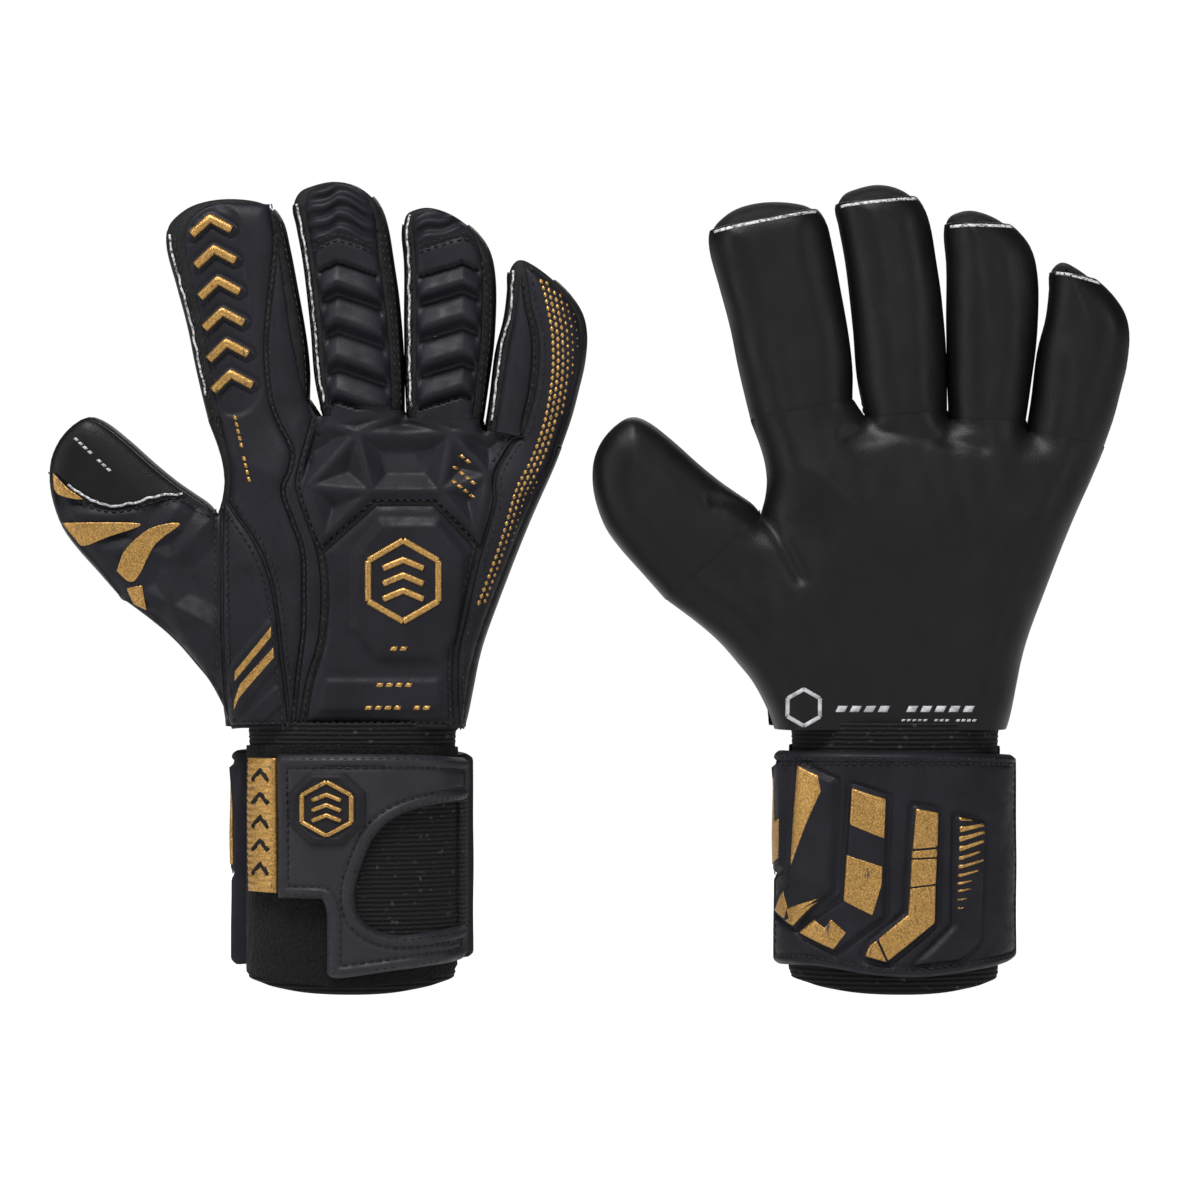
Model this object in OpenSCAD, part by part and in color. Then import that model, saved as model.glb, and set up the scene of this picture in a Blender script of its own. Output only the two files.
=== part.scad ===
// A pair of goalkeeper gloves standing on their cuffs: the right glove shows its back
// and the left glove shows its palm. X runs across the pair, Z up along the fingers,
// and each glove is drawn with its back towards -Y. The left glove is the right one
// mirrored in Y, moved along X. Millimetres.

/* [Pair] */
// Distance between the middles of the two gloves
pair_pitch = 197; // [197:1:230]

/* [Hand] */
// Thickness of the hand from palm to back
hand_depth = 36; // [35:1:38]
// Thickness of the latex foam palm and its side walls
palm_foam = 5; // [4:0.5:5]
// Thickness of the moulded back panels
back_foam = 4.8; // [4:0.2:5]
// Seam gap between neighbouring back panels
seam_gap = 0.4; // [0.3:0.1:0.8]

/* [Digits] */
// Thickness of every finger and the thumb
digit_depth = 26; // [25:1:27]
// Wall of the rolled latex round each digit
roll_wall = 4.5; // [3.5:0.5:5]
// Length of the index finger from its hinge to its tip
index_reach = 62; // [56:1:64]
// Length of the middle finger from its hinge to its tip
middle_reach = 71; // [64:1:73]
// Length of the ring finger from its hinge to its tip
ring_reach = 64; // [58:1:66]
// Length of the little finger from its hinge to its tip
pinky_reach = 51; // [46:1:53]
// Length of the thumb from its hinge to its tip
thumb_reach = 42; // [38:1:43]
// Width of a finger spine
spine_w = 8; // [6:1:9]
// Thickness of a finger spine
spine_t = 2.2; // [1.6:0.2:2.4]

/* [Wrist] */
// Half the width of the oval cuff
cuff_half_w = 37.5; // [36:0.5:38]
// Half the depth of the oval cuff
cuff_half_d = 21; // [20:0.5:22]
// Thickness of the knitted cuff
cuff_wall = 2.5; // [2:0.5:3]
// Height of the strap's and wrap's upper edge above the cuff's rim
strap_top = 86; // [84:1:88]
// How much the rim rises at the two sides
rim_rise = 7; // [4:1:8]

/* [Hidden] */
SIDES = ["right", "left"];
DIGITS = ["index", "middle", "ring", "pinky"];
HAND_PARTS = [
    "palm_latex", "hand_lining", "back_pad", "knuckle_panel", "index_side_panel",
    "pinky_side_panel", "thumb_gusset", "thumb_base_panel", "cuff_elastic",
    "wrist_wrap", "loop_patch"
];
STRAP_PARTS = ["strap_panel", "strap_elastic", "strap_badge", "strap_tab", "hook_patch"];
THUMB_PARTS = ["thumb_roll", "thumb_back"];
DIGIT_PARTS = ["roll", "back", "spine"];
PARTS = concat(
    HAND_PARTS, STRAP_PARTS, THUMB_PARTS,
    [for (d = DIGITS) for (p = DIGIT_PARTS) str(d, "_", p)]
);

half_hand = hand_depth / 2;
half_digit = digit_depth / 2;
inner_hand = half_hand - palm_foam;
inner_digit = half_digit - roll_wall;
touch_gap = 0.3;        // between pieces that lie face to face
base_gap = 0.5;         // between a digit's rounded base and the hand's edge
hand_bottom = 95.5;     // where the hand is sewn to the cuff

// Each digit: hinge x and z, lean to the right of vertical, reach, half width at the
// hinge, half width at the tip and rounding of the tip's corners.
INDEX = [[-24.5, 224], -11.2, index_reach, 18.5, 21, 14];
MIDDLE = [[14.5, 222], -5.6, middle_reach, 14.3, 16.4, 12];
RING = [[45.5, 220], 1.2, ring_reach, 14, 16.2, 12];
PINKY = [[76, 213], 11, pinky_reach, 14, 14.5, 11];
THUMB = [[-63.5, 166], -39, thumb_reach, 21.5, 17, 13];
FINGERS = [INDEX, MIDDLE, RING, PINKY];

function unit(v) = v / norm(v);
function lateral(lean) = [cos(lean), -sin(lean)];
function along(lean) = [sin(lean), cos(lean)];

// Half width of a digit at distance s beyond its hinge.
function half_w(digit, s) = digit[3] + (digit[4] - digit[3]) * s / digit[2];

// A point of the hand's edge below a digit: side is -1 for its left end, 1 for its right.
function base_point(digit, side) = digit[0]
    - along(digit[1]) * (half_digit + base_gap)
    + lateral(digit[1]) * side * half_w(digit, -half_digit);

// A closed outline, counter-clockwise, moved inwards by d.
function inset(p, d) = [
    for (i = [0 : len(p) - 1])
        let (
            u = unit(p[i] - p[(i + len(p) - 1) % len(p)]),
            v = unit(p[(i + 1) % len(p)] - p[i]),
            nu = [-u.y, u.x],
            nv = [-v.y, v.x]
        )
        p[i] + d * (nu + nv) / (1 + nu * nv)
];

// A strip of width w on the left-hand side of an open line of points.
function strip(p, w) = concat(p, [
    for (i = [len(p) - 1 : -1 : 0])
        let (
            u = unit(p[max(i, 1)] - p[max(i, 1) - 1]),
            v = unit(p[min(i, len(p) - 2) + 1] - p[min(i, len(p) - 2)]),
            nu = [-u.y, u.x],
            nv = [-v.y, v.x]
        )
        p[i] + w * (nu + nv) / (1 + nu * nv)
]);

// Seams of the hand's back, each from its upper end down to the cuff.
crotch = [-36, 176];
thumb_seam = [[-34.5, 150], [-33.5, 120], [-31, hand_bottom]];
gusset_seam = [[-22, 161], [-16, 145], [-12.5, 120], [-9.5, hand_bottom]];
flex_seam = [[-5, 192], [-10, 182], [0, 160], [1.5, 140], [-3, 113], [-6.5, hand_bottom]];
pad_corner_left = [19, 178];
pad_corner_right = [43, 178];
pinky_seam = [
    [71, 200.2], [64, 188], [63, 180], [59, 160], [56, 148], [52.5, 130], [50, 112],
    [49, hand_bottom]
];
thumb_edge = [[-33.5, 101], [-45, 118], [-60, 133]];
pinky_edge = [[84, 188], [76, 170], [67, 148], [59, 126], [54, 106], [51.5, hand_bottom]];

finger_edge = [for (f = FINGERS) for (side = [-1, 1]) base_point(f, side)];
reversed_fingers = [for (i = [len(finger_edge) - 1 : -1 : 0]) finger_edge[i]];
hand_outline = concat(
    [[-31, hand_bottom]],
    [for (i = [len(pinky_edge) - 1 : -1 : 0]) pinky_edge[i]],
    reversed_fingers,
    [[-37, 190], crotch, base_point(THUMB, 1), base_point(THUMB, -1)],
    [for (i = [len(thumb_edge) - 1 : -1 : 0]) thumb_edge[i]]
);
lining_outline = [
    [-24, 97], [45, 97], [47, 106], [51.5, 124], [59.5, 146], [69, 168], [76, 187],
    [64, 190], [-30, 190], [-29, 170], [-37, 160], [-59, 142], [-50, 133], [-31, 110]
];

// Extrudes an outline of the X-Z plane from y0 to y1.
module slab(outline, y0, y1) {
    translate([0, y1, 0]) rotate([90, 0, 0]) linear_extrude(y1 - y0) polygon(outline);
}

// One moulded panel of the hand's back.
module back_panel(outline) {
    slab(inset(outline, seam_gap / 2), -half_hand, back_foam - half_hand);
}

/* ---------- hand ---------- */

// A wall of the palm's edge, from the palm to just under the back panels.
module side_wall(line) {
    slab(strip(line, palm_foam), back_foam - half_hand + touch_gap, half_hand);
}

// The foam between two finger openings, chamfered where it meets the openings.
module web(left_digit, right_digit) {
    a = base_point(left_digit, 1);
    b = base_point(right_digit, -1);
    into_left = a - lateral(left_digit[1]) * roll_wall;
    into_right = b + lateral(right_digit[1]) * roll_wall;
    depth = 9;
    chamfer = 1;
    slab(
        [
            into_left - [0, depth],
            [(a.x + b.x) / 2, min(a.y, b.y) - depth],
            into_right - [0, depth],
            into_right - [0, chamfer],
            b, a,
            into_left - [0, chamfer]
        ],
        back_foam - half_hand + touch_gap, half_hand
    );
}

module palm_latex() {
    color("#1b1b1d") union() {
        slab(hand_outline, inner_hand, half_hand);
        intersection() {
            slab(hand_outline, -half_hand, half_hand);
            union() {
                side_wall(concat(
                    [for (i = [len(pinky_edge) - 1 : -1 : 0]) pinky_edge[i]],
                    [base_point(PINKY, 1)]));
                side_wall([base_point(INDEX, -1), [-37, 190], crotch, base_point(THUMB, 1)]);
                side_wall(concat([base_point(THUMB, -1)],
                    [for (i = [len(thumb_edge) - 1 : -1 : 0]) thumb_edge[i]],
                    [[-31, hand_bottom]]));
                for (i = [0 : 2]) web(FINGERS[i], FINGERS[i + 1]);
            }
        }
    }
}

module hand_lining() {
    lining_t = 0.8;
    front = inner_hand - 0.1;
    back = back_foam - half_hand + touch_gap;
    color("#26262a") {
        slab(lining_outline, front - lining_t, front);
        slab(lining_outline, back, back + lining_t);
    }
}

module back_pad() {
    color("#2b2b31") back_panel(concat(
        [for (i = [7 : -1 : 3]) pinky_seam[i]],
        [pad_corner_right, pad_corner_left],
        [flex_seam[2], flex_seam[3], flex_seam[4], flex_seam[5]]
    ));
}

module knuckle_panel() {
    color("#2e2e34") back_panel([
        flex_seam[2], pad_corner_left, pad_corner_right, pinky_seam[3], pinky_seam[2],
        pinky_seam[1], pinky_seam[0], base_point(PINKY, -1), base_point(RING, 1),
        base_point(RING, -1), base_point(MIDDLE, 1), base_point(MIDDLE, -1),
        base_point(INDEX, 1), flex_seam[0], flex_seam[1]
    ]);
}

module index_side_panel() {
    color("#2a2a30") back_panel(concat(
        [gusset_seam[3]],
        [for (i = [5 : -1 : 0]) flex_seam[i]],
        [base_point(INDEX, 1), base_point(INDEX, -1), [-37, 190], crotch],
        [gusset_seam[0], gusset_seam[1], gusset_seam[2]]
    ));
}

module pinky_side_panel() {
    color("#a77a33") back_panel(concat(
        [for (i = [len(pinky_edge) - 1 : -1 : 0]) pinky_edge[i]],
        [base_point(PINKY, 1)],
        pinky_seam
    ));
}

module thumb_gusset() {
    color("#2b2b30") back_panel(concat(
        [thumb_seam[2], gusset_seam[3], gusset_seam[2], gusset_seam[1], gusset_seam[0]],
        [crotch, thumb_seam[0], thumb_seam[1]]
    ));
}

module thumb_base_panel() {
    color("#2d2d33") back_panel(concat(
        [thumb_seam[2], thumb_seam[1], thumb_seam[0], crotch],
        [base_point(THUMB, 1), base_point(THUMB, -1)],
        [thumb_edge[2], thumb_edge[1], thumb_edge[0]]
    ));
}

/* ---------- digits ---------- */

// Outline of a digit seen from its back, on its hinge, pointing up, moved inwards by d.
function digit_outline(digit, d) =
    let (
        low = -half_digit - 1 - d,
        r = digit[5] - d,
        top = digit[2] - d,
        w = digit[4] - d,
        steps = 5
    )
    concat(
        [[half_w(digit, low) - d, low]],
        [for (i = [0 : steps]) let (a = 90 * i / steps)
            [w - r + r * cos(a), top - r + r * sin(a)]],
        [for (i = [0 : steps]) let (a = 90 + 90 * i / steps)
            [-w + r + r * cos(a), top - r + r * sin(a)]],
        [[d - half_w(digit, low), low]]
    );

// The space a digit may fill: its thickness, with a base rounded about its hinge.
module digit_space(digit) {
    width = 60;
    rotate([0, 90, 0]) cylinder(h = width, r = half_digit, center = true, $fn = 64);
    translate([-width / 2, -half_digit, 0]) cube([width, digit_depth, digit[2] + 1]);
}

module place_digit(digit) {
    translate([digit[0].x, 0, digit[0].y]) rotate([0, digit[1], 0]) children();
}

// The rolled latex: palm side, both sides and tip of one digit.
module digit_roll(digit) {
    color("#1b1b1d") place_digit(digit) difference() {
        intersection() {
            digit_space(digit);
            slab(digit_outline(digit, 0), -inner_digit, half_digit);
        }
        slab(digit_outline(digit, roll_wall), -inner_digit - 1, inner_digit);
    }
}

// The moulded back of one digit. pocket is true where a spine lies in it.
module digit_back(digit, pocket, shade) {
    color(shade) place_digit(digit) difference() {
        intersection() {
            digit_space(digit);
            slab(digit_outline(digit, 0), -half_digit, -inner_digit - touch_gap);
        }
        if (pocket) {
            slack = 0.3;
            translate([-spine_w / 2 - slack, -inner_digit - touch_gap - spine_t - 2 * slack, 4])
                cube([spine_w + 2 * slack, spine_t + 2 * slack + 1, digit[2] - 18]);
        }
    }
}

// The flexible spine that stiffens one finger's back, in its pocket.
module digit_spine(digit) {
    color("#d8d8d2") place_digit(digit)
        translate([-spine_w / 2, -inner_digit - touch_gap - spine_t - 0.3, 4.6])
            cube([spine_w, spine_t, digit[2] - 19.2]);
}

/* ---------- wrist ---------- */

wrist_x = 11.5;         // middle of the wrist
facet = 6;              // degrees in one flat facet of the oval
hinge_gap = 1.5;        // degrees on each side of the strap's hinge line
band_in = 0.4;          // offsets outwards from the knitted cuff
band_out = 2.2;
hook_in = 2.4;
hook_out = 3.4;
shell_in = 3.6;
shell_out = 6.6;

// A point of the wrist's oval, moved outwards by d; angle 0 is the little-finger side,
// 90 the palm and 270 the back.
function oval(d, angle) = [
    wrist_x + (cuff_half_w + d) * cos(angle),
    (cuff_half_d + d) * sin(angle)
];

// A band round the wrist between two offsets and two angles, from z0 to z1.
module band(d0, d1, a0, a1, z0, z1) {
    n = ceil((a1 - a0) / facet);
    translate([0, 0, z0]) linear_extrude(z1 - z0) polygon(concat(
        [for (i = [0 : n]) oval(d1, a0 + (a1 - a0) * i / n)],
        [for (i = [n : -1 : 0]) oval(d0, a0 + (a1 - a0) * i / n)]
    ));
}

// The part of the back half of a band that lies inside an X-Z outline.
module cut_band(d0, d1, a0, a1, outline) {
    intersection() {
        band(d0, d1, a0, a1, 0, strap_top + 4);
        slab(outline, -60, 0);
    }
}

module cuff_elastic() {
    n = 360 / facet;
    color("#141415") difference() {
        linear_extrude(hand_bottom - base_gap) difference() {
            polygon([for (i = [0 : n - 1]) oval(0, i * facet)]);
            polygon([for (i = [0 : n - 1]) oval(-cuff_wall, i * facet)]);
        }
        for (side = [-1, 1]) translate([wrist_x, 0, 0]) mirror([side < 0 ? 1 : 0, 0, 0])
            slab([[14, -1], [60, -1], [60, rim_rise + 2], [cuff_half_w, rim_rise],
                [26, rim_rise * 0.35], [14, 0]], -60, 60);
    }
}

module wrist_wrap() {
    color("#242428") band(band_in, shell_out, hinge_gap, 186, 8, strap_top);
}

module loop_patch() {
    color("#101011") band(band_in, band_out, 187, 352, 7, strap_top + 3);
}

strap_outline = [
    [-15, strap_top], [-15, 34.6], [2.4, 34.6], [4.5, 32], [4.5, 8], [8, 6.5],
    [60, 11.5], [60, strap_top]
];
window_outline = [
    [60, 68.5], [42, 67.5], [30, 64], [21.5, 57], [15.6, 44], [13.3, 35], [15.6, 28.5],
    [21.5, 24], [30, 21.5], [60, 24.5]
];
last = 360 - hinge_gap;

module strap_panel() {
    color("#2d2d32") difference() {
        cut_band(shell_in, shell_out, 190, last, strap_outline);
        slab(window_outline, -60, 1);
    }
}

module strap_elastic() {
    color("#161617") band(hook_in, hook_out, 276, last, 18, 74);
}

// Octagon of the given radius about a point of the X-Z plane, flat side down.
function octagon(centre, r) = [for (i = [0 : 7]) centre + r * [cos(22.5 + 45 * i), sin(22.5 + 45 * i)]];

module strap_badge() {
    color("#c08a35") cut_band(shell_out + 0.2, shell_out + 1.8, 215, 300, octagon([4.6, 67], 13.6));
}

module strap_tab() {
    color("#b58a45") cut_band(shell_in, shell_out - 0.6, 190, 260,
        [[-25.6, 84.6], [-25.6, 36.4], [-15.4, 36.4], [-15.4, 84.6]]);
}

module hook_patch() {
    color("#0e0e0f") cut_band(hook_in, hook_out, 190, 272, [[-24, 84], [-24, 38], [2, 38], [2, 84]]);
}

/* ---------- assembly ---------- */

glove_middle = 0.07;    // middle of a glove's width, from its thumb to its little finger

// Puts a right glove or its mirrored partner in its place.
module place_glove(side) {
    if (side == "right") translate([-pair_pitch / 2 - glove_middle, 0, 0]) children();
    else translate([pair_pitch / 2 - glove_middle, 0, 0]) mirror([0, 1, 0]) children();
}

module glove(side) {
    name = str(side, "_");
    place_glove(side) palm_latex();
    place_glove(side) hand_lining();
    place_glove(side) back_pad();
    place_glove(side) knuckle_panel();
    place_glove(side) index_side_panel();
    place_glove(side) pinky_side_panel();
    place_glove(side) thumb_gusset();
    place_glove(side) thumb_base_panel();
    place_glove(side) cuff_elastic();
    place_glove(side) wrist_wrap();
    place_glove(side) loop_patch();
    place_glove(side) strap_panel();
    place_glove(side) strap_elastic();
    place_glove(side) strap_badge();
    place_glove(side) strap_tab();
    place_glove(side) hook_patch();
    place_glove(side) digit_roll(THUMB);
    place_glove(side) digit_back(THUMB, false, "#2d2d33");
    for (i = [0 : len(DIGITS) - 1]) {
        digit_name = str(name, DIGITS[i], "_");
        place_glove(side) digit_roll(FINGERS[i]);
        place_glove(side) digit_back(FINGERS[i], true, "#2e2e34");
        place_glove(side) digit_spine(FINGERS[i]);
    }
}

for (side = SIDES) glove(side);
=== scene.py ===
"""Goalkeeper gloves: the looks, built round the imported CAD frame.

Each glove is drawn once in its own frame, in millimetres: x across the hand, z up along
the fingers, and y through the hand, with its back at -y and its palm at +y. The right
glove keeps that frame and the left glove is its mirror image in y.
"""
import math

import bpy
import numpy as np
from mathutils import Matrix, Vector, geometry


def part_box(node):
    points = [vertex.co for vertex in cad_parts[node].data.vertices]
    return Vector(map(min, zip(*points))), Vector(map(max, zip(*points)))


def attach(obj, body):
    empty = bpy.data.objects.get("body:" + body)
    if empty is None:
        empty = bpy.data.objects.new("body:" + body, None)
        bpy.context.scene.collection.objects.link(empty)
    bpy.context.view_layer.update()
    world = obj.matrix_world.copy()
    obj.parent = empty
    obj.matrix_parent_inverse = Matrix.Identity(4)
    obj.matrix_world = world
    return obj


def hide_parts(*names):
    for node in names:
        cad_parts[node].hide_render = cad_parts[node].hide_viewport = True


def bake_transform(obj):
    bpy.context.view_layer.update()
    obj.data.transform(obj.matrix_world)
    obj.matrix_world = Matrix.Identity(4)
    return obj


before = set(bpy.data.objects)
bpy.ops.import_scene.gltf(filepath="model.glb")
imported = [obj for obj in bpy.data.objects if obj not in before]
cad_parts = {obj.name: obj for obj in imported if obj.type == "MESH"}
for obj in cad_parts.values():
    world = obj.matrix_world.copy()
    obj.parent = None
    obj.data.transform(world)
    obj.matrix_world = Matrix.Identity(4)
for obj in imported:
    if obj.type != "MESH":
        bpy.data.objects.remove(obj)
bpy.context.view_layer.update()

MM = 0.001
SIDES = ("right", "left")
BACK, PALM = -1, 1

WRIST_X = 11.5                 # middle of the wrist in the glove's frame
HAND_BOTTOM = 94.5             # where the hand is sewn to the cuff
CUFF_A, CUFF_B = 37.5, 21.0    # half axes of the cuff's oval


def glove_x(side):
    """World x, in mm, of a glove's own x = 0."""
    low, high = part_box(side + "_cuff_elastic")
    return (low.x + high.x) / 2 / MM - WRIST_X


GLOVE_X = {side: glove_x(side) for side in SIDES}


# ---------------------------------------------------------------- outlines

def smooth(points, step=1.2):
    """A smooth open curve through the points, as an array with about one point a step."""
    p = np.array(points, float)
    if len(p) == 2:
        n = max(2, int(np.linalg.norm(p[1] - p[0]) / step) + 1)
        return p[0] + (p[1] - p[0]) * np.linspace(0, 1, n)[:, None]
    padded = np.vstack([2 * p[0] - p[1], p, 2 * p[-1] - p[-2]])
    out = []
    for i in range(1, len(padded) - 2):
        a, b, c, d = padded[i - 1:i + 3]
        n = max(1, int(round(np.linalg.norm(c - b) / step)))
        t = (np.arange(n) / n)[:, None]
        out.append(0.5 * (2 * b + (c - a) * t + (2 * a - 5 * b + 4 * c - d) * t ** 2
                          + (3 * b - a - 3 * c + d) * t ** 3))
    out.append(p[-1:])
    return np.vstack(out)


def outline(*stretches, step=1.2):
    """A closed outline, anticlockwise, from stretches that are each smooth or straight."""
    parts = []
    for stretch in stretches:
        line = smooth(stretch, step)
        if parts and np.linalg.norm(parts[-1][-1] - line[0]) < 0.3:
            line = line[1:]
        parts.append(line)
    ring = np.vstack(parts)
    if np.linalg.norm(ring[0] - ring[-1]) < 0.3:
        ring = ring[:-1]
    gap = ring[0] - ring[-1]
    n = int(np.linalg.norm(gap) / step)
    if n > 1:
        ring = np.vstack([ring, ring[-1] + gap * (np.arange(1, n) / n)[:, None]])
    if area(ring) < 0:
        ring = ring[::-1]
    return ring


def closed(points):
    """The straight sides of a closed polygon, as stretches of an outline."""
    return [[points[i], points[(i + 1) % len(points)]] for i in range(len(points))]


def area(ring):
    x, z = ring[:, 0], ring[:, 1]
    return 0.5 * np.sum(x * np.roll(z, -1) - np.roll(x, -1) * z)


def side_normals(line, closed):
    """Unit normals on the left-hand side of a line: inwards on an anticlockwise outline."""
    if closed:
        d = np.roll(line, -1, 0) - np.roll(line, 1, 0)
    else:
        d = np.gradient(line, axis=0)
    d /= np.linalg.norm(d, axis=1)[:, None] + 1e-9
    return np.stack([-d[:, 1], d[:, 0]], 1)


def distance(points, line, closed=False):
    """Shortest distance from each point to a line of points."""
    a = np.asarray(line, float)
    b = np.roll(a, -1, 0) if closed else a[1:]
    if not closed:
        a = a[:-1]
    ab = b - a
    ab2 = np.sum(ab * ab, 1) + 1e-12
    best = np.full(len(points), 1e9)
    for i in range(0, len(points), 2000):
        p = points[i:i + 2000, None, :]
        t = np.clip(np.sum((p - a) * ab, 2) / ab2, 0, 1)
        best[i:i + 2000] = np.min(np.linalg.norm(p - a - t[..., None] * ab, axis=2), 1)
    return best


def inside(points, ring):
    """Which points lie inside a closed outline."""
    x, z = points[:, 0][:, None], points[:, 1][:, None]
    a, b = ring, np.roll(ring, -1, 0)
    crosses = (a[:, 1] > z) != (b[:, 1] > z)
    with np.errstate(divide="ignore", invalid="ignore"):
        at = a[:, 0] + (z - a[:, 1]) * (b[:, 0] - a[:, 0]) / (b[:, 1] - a[:, 1])
    return np.sum(crosses & (x < at), 1) % 2 == 1


def inset(ring, d, step=1.2):
    """A closed outline moved inwards by d, without the stretches that would fold over."""
    moved = ring + side_normals(ring, True) * d
    keep = distance(moved, ring, True) > abs(d) * 0.96
    if d > 0:
        keep &= inside(moved, ring)
    moved = moved[keep]
    if not len(moved):
        return moved
    gaps = np.linalg.norm(np.roll(moved, -1, 0) - moved, axis=1)
    parts = []
    for p, q, g in zip(moved, np.roll(moved, -1, 0), gaps):
        n = max(1, int(g / step))
        parts.append(p + (q - p) * (np.arange(n) / n)[:, None])
    return np.vstack(parts)


def run_of(line):
    """Distance along a line at each of its points."""
    return np.concatenate([[0], np.cumsum(np.linalg.norm(np.diff(line, axis=0), axis=1))])


def at_run(s, run, values):
    return np.array([np.interp(s, run, values[:, k]) for k in (0, 1)])


def ease(t):
    t = np.clip(t, 0, 1)
    return t * t * (3 - 2 * t)


def ripple(x, z, size, seed):
    """Smooth, repeatable unevenness between about -1 and 1 with bumps of one size."""
    r = np.random.RandomState(seed)
    total = 0
    for _ in range(5):
        a, phase = r.uniform(0, math.tau, 2)
        k = math.tau / (size * r.uniform(0.7, 1.5))
        total = total + np.sin(k * (x * math.cos(a) + z * math.sin(a)) + phase)
    return total / 3


# ---------------------------------------------------------------- meshes

class Shape:
    """Points in the glove's frame and the faces between them."""

    def __init__(self):
        self.points, self.faces, self.crisp, self.count = [], [], [], 0

    def add(self, points, faces):
        self.points.append(np.asarray(points, float))
        self.faces += [tuple(int(i) + self.count for i in f) for f in faces]
        self.count += len(points)

    def merge(self, other):
        for points in other.points:
            self.points.append(points)
        self.faces += [tuple(i + self.count for i in f) for f in other.faces]
        self.crisp += [(i + self.count, j + self.count) for i, j in other.crisp]
        self.count += other.count
        return self


def make_object(name, side, shape, material):
    """One Blender object from a shape, in its glove's place."""
    p = np.vstack(shape.points)
    flip = -1 if side == "left" else 1
    world = np.stack([(p[:, 0] + GLOVE_X[side]) * MM, flip * p[:, 1] * MM, p[:, 2] * MM], 1)
    faces = shape.faces if flip == 1 else [f[::-1] for f in shape.faces]
    mesh = bpy.data.meshes.new(side + "_" + name)
    mesh.from_pydata(world.tolist(), [], faces)
    mesh.materials.append(material)
    mesh.polygons.foreach_set("use_smooth", [True] * len(mesh.polygons))
    mesh.update()
    if shape.crisp:
        wanted = {frozenset(pair) for pair in shape.crisp}
        ends = np.zeros(len(mesh.edges) * 2, int)
        mesh.edges.foreach_get("vertices", ends)
        sharp = [frozenset(pair) in wanted for pair in ends.reshape(-1, 2).tolist()]
        mesh.attributes.new("sharp_edge", "BOOLEAN", "EDGE").data.foreach_set("value", sharp)
    obj = bpy.data.objects.new(side + "_" + name, mesh)
    bpy.context.scene.collection.objects.link(obj)
    return obj


def piece(name, body, shape, material, replaces=()):
    """Makes a shape on both gloves. body is hand, strap, a digit's name or fold: a piece of a
    digit or of the fold keeps its place with no parent, and any other piece hangs from its body's
    empty."""
    for side in SIDES:
        obj = make_object(name, side, shape, material)
        if body in DIGITS:
            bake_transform(obj)
        elif body == "fold":
            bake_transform(obj)
        else:
            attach(obj, side + "_" + body)
        if replaces:
            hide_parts(*[side + "_" + node for node in replaces])


def flat_place(points, depth, facing):
    return np.stack([points[:, 0], facing * depth, points[:, 1]], 1)


def wrist_place(points, depth, facing):
    """Wraps (arc, z) points round the wrist, at a depth outside the cuff's oval."""
    turn = points[:, 0] / ARC
    return np.stack([WRIST_X + (CUFF_A + depth) * np.sin(turn),
                     facing * (CUFF_B + depth) * np.cos(turn), points[:, 1]], 1)


ARC = 38.0    # millimetres of arc in one radian of turn round the wrist


def arc_of(x, depth=5.0):
    """Arc position of a glove x, seen straight on from the back or the palm."""
    return ARC * np.arcsin(np.clip((np.asarray(x, float) - WRIST_X) / (CUFF_A + depth), -1, 1))


def triangles(ring, inner):
    """Triangles of a closed outline with inner points: all points, and faces anticlockwise."""
    n = len(ring)
    points = np.vstack([ring, inner]) if len(inner) else ring
    result = geometry.delaunay_2d_cdt([Vector(p) for p in points.tolist()],
                                      [(i, (i + 1) % n) for i in range(n)],
                                      [list(range(n))], 1, 1e-5)
    verts = np.array([tuple(v) for v in result[0]])
    faces = np.array([f for f in result[2] if len(f) == 3])
    a, b, c = verts[faces[:, 0]], verts[faces[:, 1]], verts[faces[:, 2]]
    cross = (b - a)[:, 0] * (c - a)[:, 1] - (b - a)[:, 1] * (c - a)[:, 0]
    faces[cross < 0] = faces[cross < 0][:, ::-1]
    return verts, faces[np.abs(cross) > 1e-7]


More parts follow.
